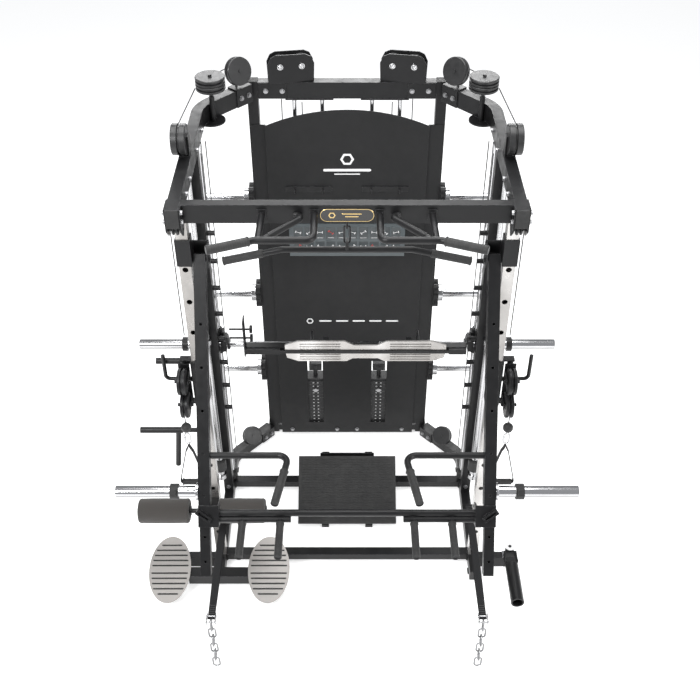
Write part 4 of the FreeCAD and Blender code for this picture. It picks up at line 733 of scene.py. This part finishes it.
# ---------------------------------------------------------------- pedals, bolts and plate marks
def pedal_inserts():
    """Dark rubber strips standing in the slots of the two oval pedals."""
    low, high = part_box("foot_pedals")
    half_long, half_wide = 107 * MM, 175 * MM
    mesh = bmesh.new()
    for centre_x in (low.x + half_long, high.x - half_long):
        centre = Vector((centre_x, (low.y + high.y) / 2, PEDAL_Z))
        lean = Matrix.Translation(centre) @ Matrix.Rotation(PEDAL_TILT, 4, "X")
        for row in range(5):
            fill = 0.84 if row < 4 else 0.66
            for sign in (1, -1):
                along = sign * (20 + 27 * row) * MM
                reach = fill * half_long * math.sqrt(1 - (along / half_wide) ** 2) + 4 * MM
                rounded_block(mesh, (-reach, along - 4.3 * MM, 0.6 * MM), (reach, along + 4.3 * MM, 3.4 * MM),
                              1.0 * MM, lean)
    piece("pedal_slot_rubber", mesh, RUBBER, "frame")


def bolt_head(mesh, centre, direction, size):
    """A domed bolt head over a washer, with a round socket."""
    profile = [(0, 0), (0, 1.25 * size), (0.16 * size, 1.25 * size), (0.18 * size, 0.95 * size),
               (0.55 * size, 0.92 * size), (0.80 * size, 0.62 * size), (0.82 * size, 0.40 * size),
               (0.45 * size, 0.36 * size), (0.45 * size, 0)]
    lathe(mesh, profile, centre, direction, 24)


def landmine_cap():
    """The bright washer and dark centre bolt on top of the barbell socket's post."""
    low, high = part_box("landmine_base")
    centre = Vector(((low.x + high.x) / 2, JOINTS["landmine_yaw"]["pos_m"][1], high.z))
    washer, bolt = bmesh.new(), bmesh.new()
    lathe(washer, [(-1 * MM, 8 * MM), (-1 * MM, 25 * MM), (1.4 * MM, 25 * MM), (2.4 * MM, 24 * MM),
                   (2.4 * MM, 8 * MM)], centre, (0, 0, 1), 40)
    lathe(bolt, [(-1 * MM, 0), (-1 * MM, 7.6 * MM), (6 * MM, 7.6 * MM), (8 * MM, 5.5 * MM), (8 * MM, 0)],
          centre, (0, 0, 1), 24)
    piece("landmine_washer", washer, WHITE, "frame")
    piece("landmine_post_bolt", bolt, BLACK, "frame")


def housing_bolts():
    """Bright bolt heads on the front plates of the rear pulley housings, one over each wheel's axle."""
    mesh = bmesh.new()
    for side in SIDES.values():
        turn = Matrix.Rotation(side * HOUSING_TURN, 3, "Z")
        middle = Vector((side * HOUSING_X, HOUSING_Y, HOUSING_Z))
        for offset in (-50 * MM, 50 * MM):
            face = middle + turn @ Vector((offset, -27.4 * MM, 0))
            bolt_head(mesh, face, turn @ Vector((0, -1, 0)), 11 * MM)
    piece("housing_bolt_heads", mesh, CHROME, "frame")


def plate_marks():
    """Raised white index bars on the front edges of the plates in both stacks."""
    for side_name, side in SIDES.items():
        fixed, lifted = bmesh.new(), bmesh.new()
        low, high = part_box("resting_plates")
        marks_on(fixed, side, low.y, low.z, FIXED_PLATES)
        marks_on(lifted, side, low.y, high.z + 1 * MM, LIFTED_PLATES)
        piece(f"resting_plate_marks_{side_name}", fixed, WHITE, "frame")
        piece(f"lifted_plate_marks_{side_name}", lifted, WHITE, f"stack_{side_name}")


def marks_on(mesh, side, front, low, count):
    for step in range(count):
        z = low + (step + 0.5) * PLATE_PITCH - 0.5 * MM
        for across in (-13, 13):
            x = side * STACK_X + across * MM
            rounded_block(mesh, (x - 4 * MM, front - 0.8 * MM, z - 2 * MM),
                          (x + 4 * MM, front + 0.4 * MM, z + 2 * MM), 0.4 * MM)


# ---------------------------------------------------------------- badge, board and shroud marks
def pill(mesh, half_width, half_height, low_y, high_y, z, x=0.0, rim=None):
    """A plate with round ends; with a rim width it becomes a ring."""
    def outline(inset):
        points = []
        for centre, start in ((half_width - half_height, -90), (-(half_width - half_height), 90)):
            for step in range(17):
                angle = math.radians(start + 180 * step / 16)
                out = half_height - inset
                points.append((x + centre + out * math.cos(angle), z + out * math.sin(angle)))
        return points

    outer = outline(0)
    soft = outline(0.8 * MM)
    layers = [[mesh.verts.new((px, high_y, pz)) for px, pz in outer],
              [mesh.verts.new((px, low_y + 0.8 * MM, pz)) for px, pz in outer],
              [mesh.verts.new((px, low_y, pz)) for px, pz in soft]]
    if rim is not None:
        layers.append([mesh.verts.new((px, low_y, pz)) for px, pz in outline(rim)])
        layers.append([mesh.verts.new((px, high_y, pz)) for px, pz in outline(rim)])
    count = len(outer)
    pairs = list(zip(layers, layers[1:])) + ([(layers[-1], layers[0])] if rim is not None else [])
    for near, far in pairs:
        for index in range(count):
            after = (index + 1) % count
            mesh.faces.new((near[index], near[after], far[after], far[index]))
    if rim is None:
        mesh.faces.new(layers[0])
        mesh.faces.new(layers[-1])
    return mesh


def hexagon_mark(mesh, x, z, size, low_y, high_y):
    """A plain hexagonal ring, used as a neutral mark."""
    def corners(radius):
        angles = [math.radians(60 * step) for step in range(6)]
        return [(x + radius * math.cos(angle), z + radius * math.sin(angle)) for angle in angles]

    layers = [[mesh.verts.new((px, y, pz)) for px, pz in corners(radius)]
              for radius, y in ((size, high_y), (size, low_y), (size * 0.66, low_y), (size * 0.66, high_y))]
    for near, far in zip(layers, layers[1:] + layers[:1]):
        for index in range(6):
            after = (index + 1) % 6
            mesh.faces.new((near[index], near[after], far[after], far[index]))


def nameplate():
    """A black plate with a gold rim, a plain hexagon and two bars."""
    low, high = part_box("nameplate")
    z, half_width, half_height = (low.z + high.z) / 2, (high.x - low.x) / 2, (high.z - low.z) / 2
    face, back = low.y, high.y
    base = pill(bmesh.new(), half_width, half_height, face + 0.4 * MM, back, z)
    piece("nameplate_face", base, GLOSS, "frame", ["nameplate"])
    rim = pill(bmesh.new(), half_width - 2 * MM, half_height - 2 * MM, face - 0.8 * MM, face + 0.9 * MM, z,
               rim=2.6 * MM)
    hexagon_mark(rim, -0.058, z, 14 * MM, face - 0.5 * MM, face + 0.9 * MM)
    for row, width in ((6, 38), (-6, 26)):
        pill(rim, width * MM, 2.6 * MM, face - 0.5 * MM, face + 0.9 * MM, z + row * MM, x=0.018)
    piece("nameplate_rim", rim, GOLD, "frame")


def shroud_marks():
    """Neutral marks high and low on the shroud."""
    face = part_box("back_panel")[0].y
    mesh = bmesh.new()
    hexagon_mark(mesh, 0, 1.872, 34 * MM, face - 0.8 * MM, face + 0.5 * MM)
    pill(mesh, 118 * MM, 7 * MM, face - 0.8 * MM, face + 0.5 * MM, 1.812)
    pill(mesh, 64 * MM, 3 * MM, face - 0.8 * MM, face + 0.5 * MM, 1.790)
    hexagon_mark(mesh, -0.205, 0.873, 20 * MM, face - 0.8 * MM, face + 0.5 * MM)
    for step in range(5):
        pill(mesh, 34 * MM, 5 * MM, face - 0.8 * MM, face + 0.5 * MM, 0.873, x=-0.12 + 0.092 * step)
    piece("shroud_marks", mesh, WHITE, "frame")


def board_print():
    """Two rows of plain tiles on the board: each a bar with a weight at both ends, or a level line."""
    low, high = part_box("exercise_board")
    face = low.y
    tiles, white, red = bmesh.new(), bmesh.new(), bmesh.new()
    columns, rows = 10, 2
    step_x = (high.x - low.x - 36 * MM) / columns
    step_z = (high.z - low.z - 24 * MM) / rows
    for column in range(columns):
        for row in range(rows):
            x = low.x + 18 * MM + step_x * (column + 0.5)
            z = low.z + 12 * MM + step_z * (row + 0.5)
            rounded_block(tiles, (x - 0.42 * step_x, face - 0.6 * MM, z - 0.40 * step_z),
                          (x + 0.42 * step_x, face + 0.5 * MM, z + 0.40 * step_z), 0.5 * MM)
            ink = red if (3 * column + 5 * row) % 7 == 0 else white
            tilt = math.radians((column * 37 + row * 61) % 90 - 45)
            lift = Matrix.Translation((x, 0, z + 4 * MM)) @ Matrix.Rotation(tilt, 4, "Y")
            for offset, wide, tall in ((0, 15, 1.3), (-13, 2.2, 6.5), (13, 2.2, 6.5)):
                rounded_block(ink, ((offset - wide) * MM, face - 1.1 * MM, -tall * MM),
                              ((offset + wide) * MM, face - 0.3 * MM, tall * MM), 0.3 * MM, lift)
            rounded_block(white, (x - 16 * MM, face - 1.0 * MM, z - 30 * MM),
                          (x + 16 * MM, face - 0.3 * MM, z - 28 * MM), 0.3 * MM)
    piece("board_tiles", tiles, TILE, "frame")
    piece("board_print_white", white, WHITE, "frame")
    piece("board_print_red", red, RED, "frame")


TILE = gloss_enamel("board_tile", (0.035, 0.043, 0.046), (0.055, 0.064, 0.068), 0.30)


# ---------------------------------------------------------------- studio
def light(name, place, aim, size, power):
    data = bpy.data.lights.new(name, "AREA")
    data.shape = "RECTANGLE"
    data.size, data.size_y = size
    data.energy = power
    item = bpy.data.objects.new(name, data)
    bpy.context.scene.collection.objects.link(item)
    item.location = place
    item.rotation_mode = "QUATERNION"
    item.rotation_quaternion = (Vector(aim) - Vector(place)).to_track_quat("-Z", "Y")


def studio():
    """A pale floor, four soft lamps and a white surround."""
    mesh = bmesh.new()
    bmesh.ops.create_grid(mesh, x_segments=8, y_segments=8, size=14.0)
    data = bpy.data.meshes.new("floor")
    mesh.to_mesh(data)
    mesh.free()
    floor = bpy.data.objects.new("floor", data)
    floor.location.z = -0.5 * MM
    data.materials.append(pale_floor())
    bpy.context.scene.collection.objects.link(floor)
    studio_world()
    light("key", (-2.6, -3.4, 4.6), (0, 0, 1.0), (2.0, 2.0), 230)
    light("fill", (3.4, -2.2, 2.6), (0, 0, 1.0), (1.6, 2.6), 90)
    light("overhead", (0, 0.4, 5.2), (0, 0, 0), (3.0, 3.0), 170)
    light("rear", (0, 4.2, 3.4), (0, 0, 1.2), (3.0, 1.6), 110)
    bpy.context.scene.view_settings.view_transform = "Standard"


def studio_world():
    """A white surround for the camera and a dimmer one for the light it gives."""
    world = bpy.data.worlds.new("studio")
    bpy.context.scene.world = world
    world.use_nodes = True
    tree = world.node_tree
    seen = tree.nodes["Background"]
    seen.inputs["Color"].default_value = (1, 1, 1, 1)
    seen.inputs["Strength"].default_value = 1.0
    given = tree.nodes.new("ShaderNodeBackground")
    given.inputs["Color"].default_value = (0.95, 0.97, 1.0, 1)
    given.inputs["Strength"].default_value = 0.42
    path = tree.nodes.new("ShaderNodeLightPath")
    mix = tree.nodes.new("ShaderNodeMixShader")
    tree.links.new(path.outputs["Is Camera Ray"], mix.inputs[0])
    tree.links.new(given.outputs[0], mix.inputs[1])
    tree.links.new(seen.outputs[0], mix.inputs[2])
    tree.links.new(mix.outputs[0], tree.nodes["World Output"].inputs["Surface"])


def camera():
    """The fitted viewpoint: high in front of the machine, looking down at its middle."""
    data = bpy.data.cameras.new("camera")
    data.sensor_width = 36.0
    data.lens = 50.68
    data.shift_x = 0.0041
    item = bpy.data.objects.new("camera", data)
    item.location = (0, -3.7, 4.217)
    item.rotation_euler = (math.radians(50.44), 0, 0)
    bpy.context.scene.collection.objects.link(item)
    bpy.context.scene.camera = item


# ---------------------------------------------------------------- build the scene
paint_nodes()
press_grips()
pull_up_grips()
lat_grips()
foam_rollers()
for side_name in SIDES:
    trainer_handle(side_name)
pedal_inserts()
housing_bolts()
landmine_cap()
plate_marks()
safety_straps()
nameplate()
shroud_marks()
board_print()
studio()
camera()
